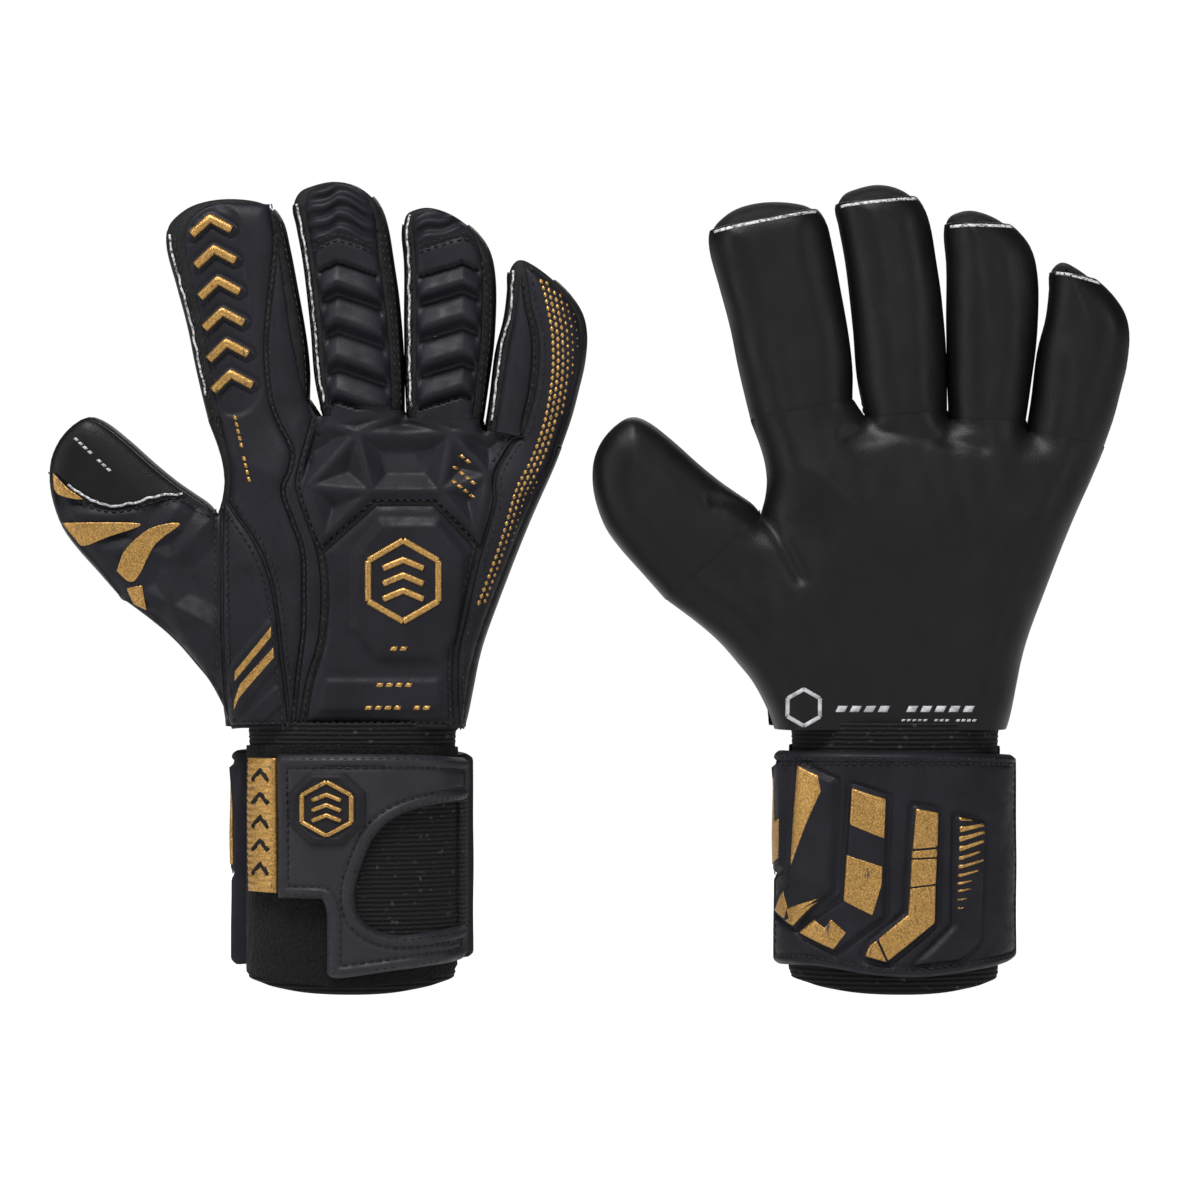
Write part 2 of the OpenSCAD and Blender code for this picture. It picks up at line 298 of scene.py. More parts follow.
def panel(ring, depth, facing=BACK, spacing=1.2, rings=(0.4, 1.0, 1.8), rim=(), place=flat_place):
    """A closed shell over an outline. depth(points, e) is the outer surface, with e the
    distance in from the outline. rings are the insets of its first rows of points. rim lists
    (inset, drop) steps that carry it round its edge, with drop taken from the edge's depth."""
    inner = []
    last = 0
    for e in rings:
        p = inset(ring, e, spacing)
        if len(p) > 3:
            inner.append(p)
            last = e
    low, high = ring.min(0), ring.max(0)
    xs = np.arange(low[0], high[0], spacing)
    zs = np.arange(low[1], high[1], spacing * 0.866)
    gx, gz = np.meshgrid(xs, zs)
    gx = gx + (np.arange(len(zs)) % 2)[:, None] * spacing / 2
    grid = np.stack([gx.ravel(), gz.ravel()], 1)
    grid = grid[inside(grid, ring)]
    if len(grid):
        grid = grid[distance(grid, ring, True) > last + spacing * 0.55]
        inner.append(grid)
    inner = np.vstack(inner) if inner else np.zeros((0, 2))
    verts, faces = triangles(ring, inner)
    e = distance(verts, ring, True)
    n = len(ring)
    top = place(verts, depth(verts, e), facing)
    shape = Shape()
    loops = [top]
    normals = side_normals(ring, True)
    edge_depth = depth(ring, np.zeros(n))
    for inset_by, drop in rim:
        moved = ring + normals * inset_by
        loops.append(place(moved, edge_depth - drop, facing))
    back_verts, back_faces = triangles(ring, np.zeros((0, 2)))
    base = len(top)
    points = np.vstack(loops)
    all_faces = [tuple(f) if facing == BACK else tuple(f[::-1]) for f in faces]
    order = match(verts, ring)
    if place is flat_place:
        to_base = np.min([distance(ring, base) for base in BASES], axis=0)
        shape.crisp = [(int(order[i]), int(order[(i + 1) % n])) for i in range(n)
                       if max(to_base[i], to_base[(i + 1) % n]) < 0.9]
    previous = order
    for k in range(len(rim)):
        current = np.arange(n) + base + k * n
        for i in range(n):
            j = (i + 1) % n
            quad = (previous[i], current[i], current[j], previous[j])
            all_faces.append(quad if facing == BACK else quad[::-1])
        previous = current
    if rim:
        to_rim = previous[match(ring, back_verts)]
        for f in back_faces:
            tri = tuple(to_rim[f])
            if len(set(tri)) == 3:
                all_faces.append(tri[::-1] if facing == BACK else tri)
    shape.add(points, all_faces)
    return shape


def match(verts, wanted):
    """Index in verts of the point nearest to each wanted point."""
    return np.array([int(np.argmin(np.sum((verts - p) ** 2, 1))) for p in wanted])


def ribbon(line, depth, profile, facing=BACK, place=flat_place):
    """Sweeps a closed profile of (sideways, outwards) points along a line on a surface."""
    line = np.asarray(line, float)
    normals = side_normals(line, False)
    n, m = len(line), len(profile)
    shape = Shape()
    rows = []
    for sideways, outwards in profile:
        moved = line + normals * sideways
        rows.append(place(moved, depth(moved) + outwards, facing))
    points = np.stack(rows, 1).reshape(-1, 3)
    faces = []
    for i in range(n - 1):
        for k in range(m):
            l = (k + 1) % m
            faces.append((i * m + k, i * m + m + k, i * m + m + l, i * m + l))
    faces += [tuple(range(m)), tuple(range((n - 1) * m, n * m))[::-1]]
    shape.add(points, [f if facing == PALM else f[::-1] for f in faces])
    return shape


def without_repeats(line, least):
    """A line without the points that lie almost on the one before."""
    keep = np.concatenate([[True], np.linalg.norm(np.diff(line, axis=0), axis=1) > least])
    return line[keep]


def round_profile(width, height, sink=0.6, n=8):
    """A ribbon profile with a rounded top, anticlockwise when seen along the line."""
    top = [(width / 2 * math.cos(math.pi * i / n), height * math.sin(math.pi * i / n))
           for i in range(n + 1)]
    return top + [(-width / 2, -sink), (width / 2, -sink)]


# One stitch: how far apart, how long and how thick, then its stations along its length with
# their thickness and height, all in fractions of those or in mm
STITCH_PITCH, STITCH_LENGTH, STITCH_RADIUS, STITCH_SIDES = 2.7, 1.9, 0.28, 5
STITCH_AT = np.array([-0.5, -0.38, 0, 0.38, 0.5]) * STITCH_LENGTH
STITCH_SIZE = np.array([0.35, 0.85, 1.0, 0.85, 0.35]) * STITCH_RADIUS
STITCH_LIFT = np.array([-0.25, 0.05, 0.2, 0.05, -0.25])


def stitches(lines, depth, facing=BACK, place=flat_place):
    """Rows of separate stitches lying on a surface along each line."""
    shape = Shape()
    n, m = len(STITCH_AT), STITCH_SIDES
    angles = np.arange(m) * math.tau / m
    faces = [(i * m + (k + 1) % m, i * m + k, (i + 1) * m + k, (i + 1) * m + (k + 1) % m)
             for i in range(n - 1) for k in range(m)]
    faces += [tuple(range(m)), tuple(range((n - 1) * m, n * m))[::-1]]
    for line in lines:
        line = np.asarray(line, float)
        run = run_of(line)
        count = int(run[-1] / STITCH_PITCH)
        for s in (np.arange(count) + 0.5) * run[-1] / max(count, 1):
            at = np.clip(s + STITCH_AT, 0, run[-1])
            p2 = at_run(at, run, line).T
            p3 = place(p2, depth(p2) + STITCH_LIFT, facing)
            axis = p3[-1] - p3[0]
            axis /= np.linalg.norm(axis) + 1e-9
            middle = p2[2:3]
            up = place(middle, depth(middle) + 1, facing)[0] - place(middle, depth(middle),
                    facing)[0]
            across = np.cross(axis, up)
            across /= np.linalg.norm(across) + 1e-9
            up = np.cross(across, axis)
            circle = np.cos(angles)[:, None] * across + np.sin(angles)[:, None] * up
            points = p3[:, None, :] + STITCH_SIZE[:, None, None] * circle[None]
            shape.add(points.reshape(-1, 3), faces)
    return shape


# ---------------------------------------------------------------- the glove's lines

# hinge (x, z), lean to the right in degrees, and the silhouette from the left end of the
# base over the tip to the right end
DIGITS = {
    "index": ((-24.5, 224), -11.2, [
        (-40.6, 206.6), (-45, 225), (-48, 240), (-52, 255), (-55.5, 268), (-55.2, 276),
                                    (-50.5, 281.5),
        (-44, 285), (-35, 286.7), (-25, 286.3), (-18, 284), (-13.5, 278), (-11, 268), (-8.5, 255),
        (-5.5, 238), (-4, 225), (-4, 213.9)]),
    "middle": ((14.5, 222), -5.6, [
        (1, 207.2), (-2, 222), (-3.5, 240), (-6, 262), (-8.5, 276), (-10, 283.5), (-7.5, 289),
        (-2, 291.6), (5, 293), (12, 292), (18, 288.7), (22, 283.5), (24.5, 276), (26.5, 264),
        (28.7, 248), (30.2, 228), (30.4, 209.8)]),
    "ring": ((45.5, 220), 1.2, [
        (31.4, 206.8), (30.8, 222), (30.5, 240), (30.5, 262), (29.6, 274), (30.8, 280.5), (35, 283),
        (40, 283.6), (46, 282), (51.5, 279), (57, 274.3), (61, 268.5), (63, 261), (63.6, 250),
        (62.8, 234), (60.7, 218), (59, 206.2)]),
    "pinky": ((76, 213), 11, [
        (59.6, 202.6), (61.5, 215), (63.5, 231), (66.5, 243), (67.8, 253), (68, 260), (70.5, 264),
        (74, 264.6), (79, 262), (84.5, 257.8), (90.5, 252), (95, 245), (96.6, 237), (95.8, 227),
        (93.5, 217), (91, 207.5), (87.3, 196.8)]),
    "thumb": ((-63.5, 166), -39, [
        (-71.5, 141.4), (-80, 151), (-88, 160), (-93.3, 167.5), (-96.6, 176), (-98, 184),
                                  (-97.5, 192),
        (-94.5, 199), (-89.5, 204.5), (-84, 207.3), (-78, 205.5), (-69.5, 199), (-60, 190.5),
        (-52, 184), (-46, 179.8), (-40.5, 176), (-37, 172)]),
}
FINGERS = ("index", "middle", "ring", "pinky")


def along(digit):
    lean = math.radians(DIGITS[digit][1])
    return np.array([math.sin(lean), math.cos(lean)])


def reach(points, digit):
    """Distance of points beyond a digit's hinge, along the digit."""
    return (np.asarray(points, float) - DIGITS[digit][0]) @ along(digit)


HAND = outline(
    [(-32, 94.5), (52, 94.5)],
    [(52, 94.5), (53.5, 100), (55.5, 110), (57.5, 120), (60.5, 130), (68, 150), (76, 170),
     (84, 188), (87.4, 196.6)],
    [(87.4, 196.6), (59.6, 202.4)], [(59.2, 206), (31.2, 206.6)], [(30.6, 209.6), (0.8, 207)],
    [(-3.8, 213.8), (-40.8, 206.4)],
    [(-40.8, 206.4), (-36.5, 195), (-34.8, 186), (-35.2, 179), (-36.8, 172.5)],
    [(-36.8, 172.5), (-71.3, 141.4)],
    [(-71.3, 141.4), (-60, 133), (-52, 126), (-45, 118), (-39.5, 111), (-34.5, 101.5), (-32, 94.5)])

# Seams of the back, each from its upper end down
THUMB_SEAM = [(-35, 174.5), (-34.5, 150), (-33.8, 120), (-32.6, 96)]
GUSSET_SEAM = [(-33.5, 177), (-29, 171), (-22, 161), (-17, 149), (-14.5, 136), (-12.8, 120),
               (-11, 106), (-10, 95)]
INDEX_SEAM = [(-16.8, 211), (-14, 204), (-9.5, 195), (-10, 188), (-12.6, 180), (-9, 169),
              (-5.4, 158),
              (-5, 143), (-5.2, 130), (-7, 115), (-9, 95)]
FLEX_SEAM = [(-1.2, 208), (-4, 197), (-6, 189), (-7, 183), (-5, 175), (0, 161), (2, 150),
             (2.2, 137),
             (0.8, 125), (-3, 112), (-6, 95)]
PINKY_SEAM = [(75.6, 200), (70.5, 198.5), (64.5, 188.5), (63.3, 182), (63.6, 177), (62, 170),
              (59, 160),
              (56, 148), (53, 135), (50.5, 124), (50, 112), (50.5, 95)]
PAD_TOP = [(1, 159), (20.5, 176.5), (42.5, 176.5), (58, 160)]


GLOVE_EDGE = np.vstack([
    smooth([(-32, 94.5), (-34.5, 101.5), (-39.5, 111), (-45, 118), (-52, 126), (-60, 133),
            (-71.3, 141.2)], 1.6),
    smooth(DIGITS["thumb"][2], 1.6), smooth([(-36.8, 172.5), (-35.2, 179), (-34.8, 186),
                                             (-36.5, 195), (-40.5, 206)], 1.6),
    *[smooth(DIGITS[finger][2], 1.6) for finger in FINGERS],
    smooth([(87.2, 196.4), (84, 188), (76, 170), (68, 150), (60.5, 130), (57.5, 120), (55.5, 110),
            (53.5, 100),
            (52, 94.5)], 1.6)])
BASES = [[(-40.6, 206.6), (-4, 213.9)], [(1, 207.2), (30.4, 209.8)], [(31.4, 206.8), (59, 206.2)],
         [(59.6, 202.6), (87.3, 196.8)], [(-71.5, 141.4), (-37, 172)]]


def edge_distance(points):
    """Distance in from the silhouette of the whole glove."""
    best = np.full(len(points), 60.0)
    for i in range(0, len(points), 1500):
        part = points[i:i + 1500]
        low, high = part.min(0) - 26, part.max(0) + 26
        near = np.all((GLOVE_EDGE > low) & (GLOVE_EDGE < high), axis=1)
        near[1:] |= near[:-1]
        near[:-1] |= near[1:]
        if np.any(near):
            a, b = GLOVE_EDGE[:-1][near[:-1]], GLOVE_EDGE[1:][near[:-1]]
            ab = b - a
            t = np.clip(np.sum((part[:, None] - a) * ab, 2) / (np.sum(ab * ab, 1) + 1e-9), 0, 1)
            d = np.linalg.norm(part[:, None] - a - t[..., None] * ab, axis=2)
            best[i:i + 1500] = np.minimum(best[i:i + 1500], d.min(1))
    return best


FULL_AT = 34                   # distance from the digits' bases at which the hand is full


def fullness(points):
    """0 in the digits, rising to 1 in the middle of the hand."""
    d = np.full(len(points), 1e9)
    for base in BASES:
        d = np.minimum(d, distance(points, base))
    return ease(d / FULL_AT) * inside(points, HAND)


def rounded_depth(points, rim, digit, hand, width):
    """A face that rises from rim at the silhouette in a quarter round of a width, to digit
    in the digits and by hand more in the middle of the hand."""
    d = edge_distance(points)
    middle = digit + hand * fullness(points)
    return rim + (middle - rim) * np.sqrt(np.maximum(1 - (1 - np.clip(d / width, 0, 1)) ** 2, 0))


def glove_back(points):
    """Depth of the glove's body at its back."""
    return rounded_depth(points, rim=7.4, digit=12.5, hand=4.6, width=13)


def glove_palm(points):
    """Depth of the glove's body at its palm."""
    return rounded_depth(points, rim=0.5, digit=13.0, hand=4.4, width=14.5)


def tucked(e, drop=1.7, width=1.5):
    """How far a padded panel's face dips towards its seam."""
    return drop * np.exp(-np.asarray(e) / width)


PANEL_RIM = ((0.1, 0.9), (0.5, 2.0), (1.0, 3.0))
FINE_RINGS = (0.35, 0.8)


FOAM_RINGS = []                       # outlines of the padded panels made so far


def under_foam(points):
    """How far the cloth under the panels drops away from them, away from their edges."""
    deep = np.full(len(points), -1.0)
    for ring in FOAM_RINGS:
        near = np.all((points > ring.min(0)) & (points < ring.max(0)), axis=1)
        if np.any(near):
            some = points[near]
            deep[near] = np.maximum(deep[near], distance(some, ring,
                                                         True) * np.where(inside(some, ring), 1,
                                                                 -1))
    return 3.6 * ease((deep - 0.3) / 1.6)


def foam_panel(ring, relief=None, spacing=1.2, rings=(0.35, 0.9, 1.7), lift=1.3, gap=0.5,
               open_at=(), drop=1.7):
    """A padded panel that stands lift above the glove's body and tucks in at its seams, but
    not along the open_at lines, where it runs on into its neighbour."""
    to_open = np.full(len(ring), 1e9)
    for line in open_at:
        to_open = np.minimum(to_open, distance(ring, line))
    ring = ring + side_normals(ring, True) * (gap * ease((to_open - 0.6) / 1.5))[:, None]
    seams = ring[to_open > 1.2]
    FOAM_RINGS.append(ring)

    def surface(points, e):
        if len(open_at):
            e = np.min(np.linalg.norm(points[:, None] - seams[None], axis=2), 1)
        height = glove_back(points) + lift - tucked(e, drop)
        return height + (relief(points, e) if relief else 0)
    return panel(ring, surface, BACK, spacing, rings, PANEL_RIM)


def foam_piece(name, body, ring, nodes, relief, spacing, slot="back_panel", **how):
    """A padded panel of back foam, as the piece that stands for nodes."""
    piece(name, body, foam_panel(ring, relief, spacing, **how), FOAM, nodes)


# ---------------------------------------------------------------- materials

def shade(v, blue=None):
    """A grey as a colour, or one with its own amount of blue."""
    return (v, v, v if blue is None else blue, 1)


def node(tree, kind, inputs=None, **settings):
    made = tree.nodes.new("ShaderNode" + kind)
    for key, value in settings.items():
        setattr(made, key, value)
    for key, value in (inputs or {}).items():
        if isinstance(value, bpy.types.NodeSocket):
            tree.links.new(value, made.inputs[key])
        else:
            made.inputs[key].default_value = value
    return made


def start_material(name):
    material = bpy.data.materials.new(name)
    material.use_nodes = True
    tree = material.node_tree
    tree.nodes.clear()
    shader = node(tree, "BsdfPrincipled")
    out = node(tree, "OutputMaterial")
    tree.links.new(shader.outputs[0], out.inputs[0])
    coords = node(tree, "TexCoord").outputs["Object"]
    return material, tree, shader, coords


def noise(tree, coords, scale, detail=3.0, roughness=0.5):
    return node(tree, "TexNoise", {"Vector": coords, "Scale": scale, "Detail": detail,
                                   "Roughness": roughness}).outputs["Fac"]


def ramp(tree, fac, low, high, at_low=(0, 0, 0, 1), at_high=(1, 1, 1, 1)):
    made = node(tree, "ValToRGB", {"Fac": fac})
    made.color_ramp.elements[0].position = low
    made.color_ramp.elements[0].color = at_low
    made.color_ramp.elements[1].position = high
    made.color_ramp.elements[1].color = at_high
    return made.outputs["Color"]


def multiply(tree, a, b):
    made = node(tree, "Math", operation="MULTIPLY")
    for socket, value in zip(made.inputs, (a, b)):
        if isinstance(value, bpy.types.NodeSocket):
            tree.links.new(value, socket)
        else:
            socket.default_value = value
    return made.outputs[0]


def bump(tree, height, strength, distance_m, normal=None):
    inputs = {"Height": height, "Strength": strength, "Distance": distance_m}
    if normal is not None:
        inputs["Normal"] = normal
    return node(tree, "Bump", inputs).outputs["Normal"]


def foam_material(name, dark, light, roughness=0.55, gloss=0.165):
    """Moulded foam with a matte, finely pebbled skin."""
    material, tree, shader, coords = start_material(name)
    patches = noise(tree, coords, 70, 4)
    tree.links.new(ramp(tree, patches, 0.35, 0.7, dark, light), shader.inputs["Base Color"])
    grain = noise(tree, coords, 2600, 2)
    pebble = node(tree, "TexVoronoi", {"Vector": coords, "Scale": 1500.0}).outputs["Distance"]
    tree.links.new(ramp(tree, noise(tree, coords, 240, 4), 0.3, 0.75,
                        shade(roughness - 0.1), shade(roughness + 0.12)),
                   shader.inputs["Roughness"])
    first = bump(tree, pebble, 0.35, 0.00010)
    tree.links.new(bump(tree, grain, 0.30, 0.00008, first), shader.inputs["Normal"])
    shader.inputs["Specular IOR Level"].default_value = gloss
    return material


def latex_material():
    """Soft foam latex: near black, satin, with fine pores and faint random clouds of lighter and
    darker colour.
    """
    material, tree, shader, coords = start_material("palm_latex")
    clouds = noise(tree, coords, 28, 5, 0.6)
    tree.links.new(ramp(tree, clouds, 0.3, 0.75, shade(0.0018, 0.0020),
                        shade(0.0038, 0.0042)), shader.inputs["Base Color"])
    tree.links.new(ramp(tree, noise(tree, coords, 90, 5), 0.3, 0.8, shade(0.42),
                        shade(0.52)), shader.inputs["Roughness"])
    shader.inputs["Specular IOR Level"].default_value = 0.17
    pores = node(tree, "TexVoronoi", {"Vector": coords, "Scale": 1100.0}).outputs["Distance"]
    broad = bump(tree, noise(tree, coords, 130, 3), 0.25, 0.0006)
    tree.links.new(bump(tree, pores, 0.30, 0.00012, broad), shader.inputs["Normal"])
    return material


def gold_material():
    """Metallic ochre print with fine glitter, and a dark ground that shows in scratches."""
    material, tree, shader, coords = start_material("gold_print")
    flakes = node(tree, "TexVoronoi", {"Vector": coords, "Scale": 2600.0})
    shades = ramp(tree, flakes.outputs["Color"], 0.1, 0.95, (0.17, 0.088, 0.020, 1),
                  (0.46, 0.27, 0.082, 1))
    stretched = node(tree, "Mapping", {"Vector": coords, "Scale": (1.0, 1.0, 0.22),
                                       "Rotation": (0.0, 0.6, 0.0)}).outputs["Vector"]
    scratch = ramp(tree, noise(tree, stretched, 420, 6, 0.7), 0.60, 0.66)
    mix = node(tree, "MixRGB", {"Fac": scratch, "Color1": shades,
                                "Color2": (0.02, 0.018, 0.016, 1)})
    tree.links.new(mix.outputs["Color"], shader.inputs["Base Color"])
    shiny = ramp(tree, scratch, 0.0, 1.0, shade(0.75), shade(0.0))
    tree.links.new(shiny, shader.inputs["Metallic"])
    tree.links.new(ramp(tree, flakes.outputs["Distance"], 0.0, 0.8, shade(0.26),
                        shade(0.5)), shader.inputs["Roughness"])
    tree.links.new(bump(tree, flakes.outputs["Distance"], 0.5, 0.00008), shader.inputs["Normal"])
    return material


def knit_material():
    """Elastic knit: fine horizontal ribs with painted shade, darker in their grooves, fuzzy, with
    sparse painted glints: light specks in the colour.
    """
    material, tree, shader, coords = start_material("elastic_knit")
    wave = node(tree, "TexWave", {"Vector": coords, "Scale": 190.0, "Distortion": 1.2,
                                  "Detail": 2.0,
                                  "Detail Scale": 3.0}, bands_direction="Z").outputs["Fac"]
    fuzz = noise(tree, coords, 1500, 3, 0.7)
    cells = node(tree, "TexVoronoi", {"Vector": coords, "Scale": 900.0})
    # painted glints: sparse light specks in the colour stand in for the knit's sparkle
    painted_glints = ramp(tree, cells.outputs["Color"], 0.86, 0.93)
    # painted shade: the colour follows the rib wave of the bump, darker in the grooves and lighter
    # on the crests
    base = ramp(tree, wave, 0.2, 0.9, shade(0.002, 0.0022), shade(0.010, 0.011))
    mix = node(tree, "MixRGB", {"Fac": multiply(tree, painted_glints, 0.2), "Color1": base,
                                "Color2": shade(0.12, 0.125)})
    tree.links.new(mix.outputs["Color"], shader.inputs["Base Color"])
    shader.inputs["Roughness"].default_value = 0.85
    shader.inputs["Specular IOR Level"].default_value = 0.12
    shader.inputs["Sheen Weight"].default_value = 0.03
    shader.inputs["Sheen Roughness"].default_value = 0.5
    first = bump(tree, wave, 0.7, 0.0004)
    tree.links.new(bump(tree, fuzz, 0.6, 0.0003, first), shader.inputs["Normal"])
    return material


def pile_material(name, colour):
    """Short fuzzy pile of hook-and-loop tape."""
    material, tree, shader, coords = start_material(name)
    fuzz = noise(tree, coords, 1100, 5, 0.75)
    tufts = node(tree, "TexVoronoi", {"Vector": coords, "Scale": 750.0}).outputs["Distance"]
    tree.links.new(ramp(tree, fuzz, 0.35, 0.8, tuple(c * 0.5 for c in colour) + (1,),
                        tuple(c * 2.2 for c in colour) + (1,)), shader.inputs["Base Color"])
    shader.inputs["Roughness"].default_value = 0.95
    shader.inputs["Specular IOR Level"].default_value = 0.1
    shader.inputs["Sheen Weight"].default_value = 0.04
    first = bump(tree, tufts, 0.8, 0.0005)
    tree.links.new(bump(tree, fuzz, 0.8, 0.0004, first), shader.inputs["Normal"])
    return material


def weave_material(name, dark, light, scale=700.0, roughness=0.7, mottle=320.0):
    """Flat woven tape or cloth."""
    material, tree, shader, coords = start_material(name)
    over = node(tree, "TexWave", {"Vector": coords, "Scale": scale, "Distortion": 0.3},
                bands_direction="X").outputs["Fac"]
    under = node(tree, "TexWave", {"Vector": coords, "Scale": scale, "Distortion": 0.3},
                 bands_direction="Z").outputs["Fac"]
    weave = multiply(tree, over, under)
    tree.links.new(ramp(tree, noise(tree, coords, mottle, 4), 0.35, 0.6, dark, light),
                   shader.inputs["Base Color"])
    shader.inputs["Roughness"].default_value = roughness
    shader.inputs["Specular IOR Level"].default_value = 0.18
    tree.links.new(bump(tree, weave, 0.5, 0.00015), shader.inputs["Normal"])
    return material


FOAM = foam_material("back_foam", shade(0.0034, 0.0060), shade(0.0064, 0.0104))
STRAP_FOAM = foam_material("strap_foam", shade(0.0060, 0.0090), shade(0.0095, 0.0135), 0.55, 0.28)
FOAM_TIP = foam_material("badge_foam", shade(0.0050, 0.0070), shade(0.0080, 0.0105), 0.6)
LATEX = latex_material()
GOLD = gold_material()
KNIT = knit_material()
LOOP = pile_material("loop_pile", (0.005, 0.005, 0.0055))
HOOK = pile_material("hook_tape", (0.006, 0.006, 0.007))
SEAM = weave_material("seam_tape", shade(0.0022, 0.0025), shade(0.006, 0.0065))
LINING = weave_material("mesh_lining", shade(0.012, 0.014), shade(0.022, 0.025), 420.0, 0.85)
THREAD = weave_material("thread", shade(0.004, 0.0045), shade(0.016, 0.018), 1400.0, 0.4)
RAW_EDGE = weave_material("raw_foam_edge", shade(0.02), shade(0.50, 0.51), 900.0, 0.8, 900.0)
SILVER = weave_material("silver_print", shade(0.22, 0.23), shade(0.42, 0.44), 1200.0, 0.35)
SPINE = foam_material("spine_plastic", shade(0.45, 0.43), shade(0.58, 0.56), 0.4)


# ---------------------------------------------------------------- back of the glove

BOTTOM = HAND_BOTTOM + 1.2
INDEX_TIP_SEAM = [(-17.5, 284.5), (-15.6, 272), (-16.2, 262), (-18, 246), (-19, 232), (-18.2, 219),
                  (-16.8, 211)]
PINKY_TIP_SEAM = [(74, 261.5), (76, 247), (78.4, 238), (79, 230), (78, 218), (75.6, 208), (73, 201)]
FLEX_TIP_SEAM = [(-13.6, 272), (-12.6, 262), (-9, 237), (-5.6, 221), (-3.4, 214), (-1.6, 208)]


def make_under_cloth():
    """Black seam cloth under the moulded panels, seen as bands between them."""
    ring = inset(HAND, 0.7)
    shape = panel(ring, lambda p, e: glove_back(p) - 0.5 - under_foam(p), BACK, 1.6, (0.8,),
                  ((0.0, 2.0), (0.3, 5.0)))
    piece("back_seam_cloth", "hand", shape, SEAM)


def make_side_panels():
    thumb = outline(THUMB_SEAM, [(-32.8, BOTTOM), (-34.0, 101.8), (-39, 111.5), (-44.5, 118.7),
                                 (-51.5, 126.7), (-59.6, 133.8), BASES[4][0]], BASES[4],
                    [BASES[4][1], THUMB_SEAM[0]])
    foam_piece("thumb_base_foam", "hand", thumb, ("thumb_base_panel",), thumb_facets, 0.9, lift=1.4,
               open_at=[BASES[4]])

    gusset = outline(THUMB_SEAM, [(-32.6, BOTTOM), (-10, BOTTOM)], GUSSET_SEAM[::-1])
    foam_piece("thumb_gusset_foam", "hand", gusset, ("thumb_gusset",), gusset_relief, 0.9)

    index = outline(GUSSET_SEAM, [(-10, BOTTOM), (-9, BOTTOM)],
                    (INDEX_TIP_SEAM + INDEX_SEAM[1:])[::-1],
                    [(-17.5, 284.5), (-26, 284.8), (-35, 284.6), (-42, 282.4), (-47.0, 277.5),
                     (-48.6, 270),
                     (-46.2, 257), (-42.4, 241), (-39.4, 225), (-36.8, 210), (-34.2, 197),
                     (-32.3, 188), (-32.6, 178)])
    foam_piece("index_foam", "index", index, ("index_side_panel", "index_back"), index_relief, 1.0)

    flex = outline(INDEX_TIP_SEAM[1:] + INDEX_SEAM[1:], [(-9, BOTTOM), (-6, BOTTOM)],
                   FLEX_SEAM[::-1],
                   FLEX_TIP_SEAM[::-1])
    piece("flex_strip", "index", foam_panel(flex, None, 1.0, (0.35, 0.9), lift=0.8, gap=1.0,
                                            drop=1.0), FOAM)

    pinky = outline(PINKY_TIP_SEAM + PINKY_SEAM[1:], [(50.5, BOTTOM), (52.2, BOTTOM)],
                    [(52.2, BOTTOM), (54.0, 110), (56, 120), (59.1, 130.6), (66.6, 150.6),
                     (74.6, 170.6), (82.6, 188.6),
                     (85.8, 197), (89.6, 207.8), (92.0, 217), (94.2, 227), (94.9, 237),
                     (93.3, 244.3),
                     (89.2, 250.7), (83.4, 256.3), (78.1, 260.3), (74, 261.5)])
    foam_piece("pinky_side_foam", "pinky", pinky, ("pinky_side_panel",), None, 1.0, "gold_print")


FINGER_LIFT = 1.8


def finger_foam(finger, ring, relief, spacing, base):
    foam_piece(finger + "_foam", finger, ring, (finger + "_back",), relief, spacing,
               rings=FINE_RINGS, lift=FINGER_LIFT, gap=0.0, open_at=[BASES[base]])


def make_middle_panels():
    knuckle = outline(FLEX_SEAM[:6], PAD_TOP[:2], PAD_TOP[1:3], PAD_TOP[2:],
                      PINKY_SEAM[6::-1], [(75, 199.6), (60.5, 202.4)],
                      [(60.5, 202.4), (59, 203.8), (58, 206.2)], [(58, 206.2), (32.4, 206.8)],
                      [(32.4, 206.8), (31.2, 208.5), (29.6, 209.7)], [(29.6, 209.7), (1.6, 207.3)])
    open_at = [BASES[1], BASES[2], [(62, 202.2), (74, 199.8)]]
    foam_piece("knuckle_star", "hand", knuckle, ("knuckle_panel",), star_relief, 0.8,
               rings=FINE_RINGS, lift=FINGER_LIFT, gap=0.6, open_at=open_at)

    pad = outline(PAD_TOP[:2], PAD_TOP[1:3], PAD_TOP[2:], PINKY_SEAM[6:],
                  [(50.5, BOTTOM), (-6, BOTTOM)], FLEX_SEAM[:4:-1])
    foam_piece("back_pad_foam", "hand", pad, ("back_pad",), pad_relief, 0.9, lift=1.2, gap=1.3)

    middle = outline([(4.2, 207.5), (2.3, 222), (1.2, 240), (-1.4, 262), (-3.6, 276),
                      (-4.4, 284.4), (-1.4, 289.4),
                      (5, 291.7), (12, 290.7), (17, 287), (19.6, 281.6), (20.8, 274), (21.8, 263),
                      (24, 247), (25.6, 228),
                      (26.4, 209.4)], [(26.4, 209.4), (4.2, 207.5)], step=1.0)
    finger_foam("middle", middle, middle_relief, 0.75, 1)

    ring = outline([(35, 206.8), (35.2, 222), (35.2, 240), (35, 262), (34.2, 272), (34.2, 279.4),
                    (40, 282.3),
                    (46, 280.7), (51.5, 277.5), (56, 272.4), (58.4, 266), (59, 258), (59, 248),
                    (58.4, 234),
                    (56.6, 218), (55.4, 206.3)], [(55.4, 206.3), (35, 206.8)], step=1.0)
    finger_foam("ring", ring, ring_relief, 0.75, 2)

    pinky = outline([(63.4, 202), (65.8, 215), (68.2, 231), (70.6, 243), (72, 252), (72.8, 258)],
                    [(72.8, 258), (74.4, 247), (76.4, 238), (77, 230), (76, 218), (73.8, 208),
                     (72.6, 200)],
                    [(72.6, 200), (63.4, 202)], step=1.0)
    finger_foam("pinky", pinky, None, 0.9, 3)


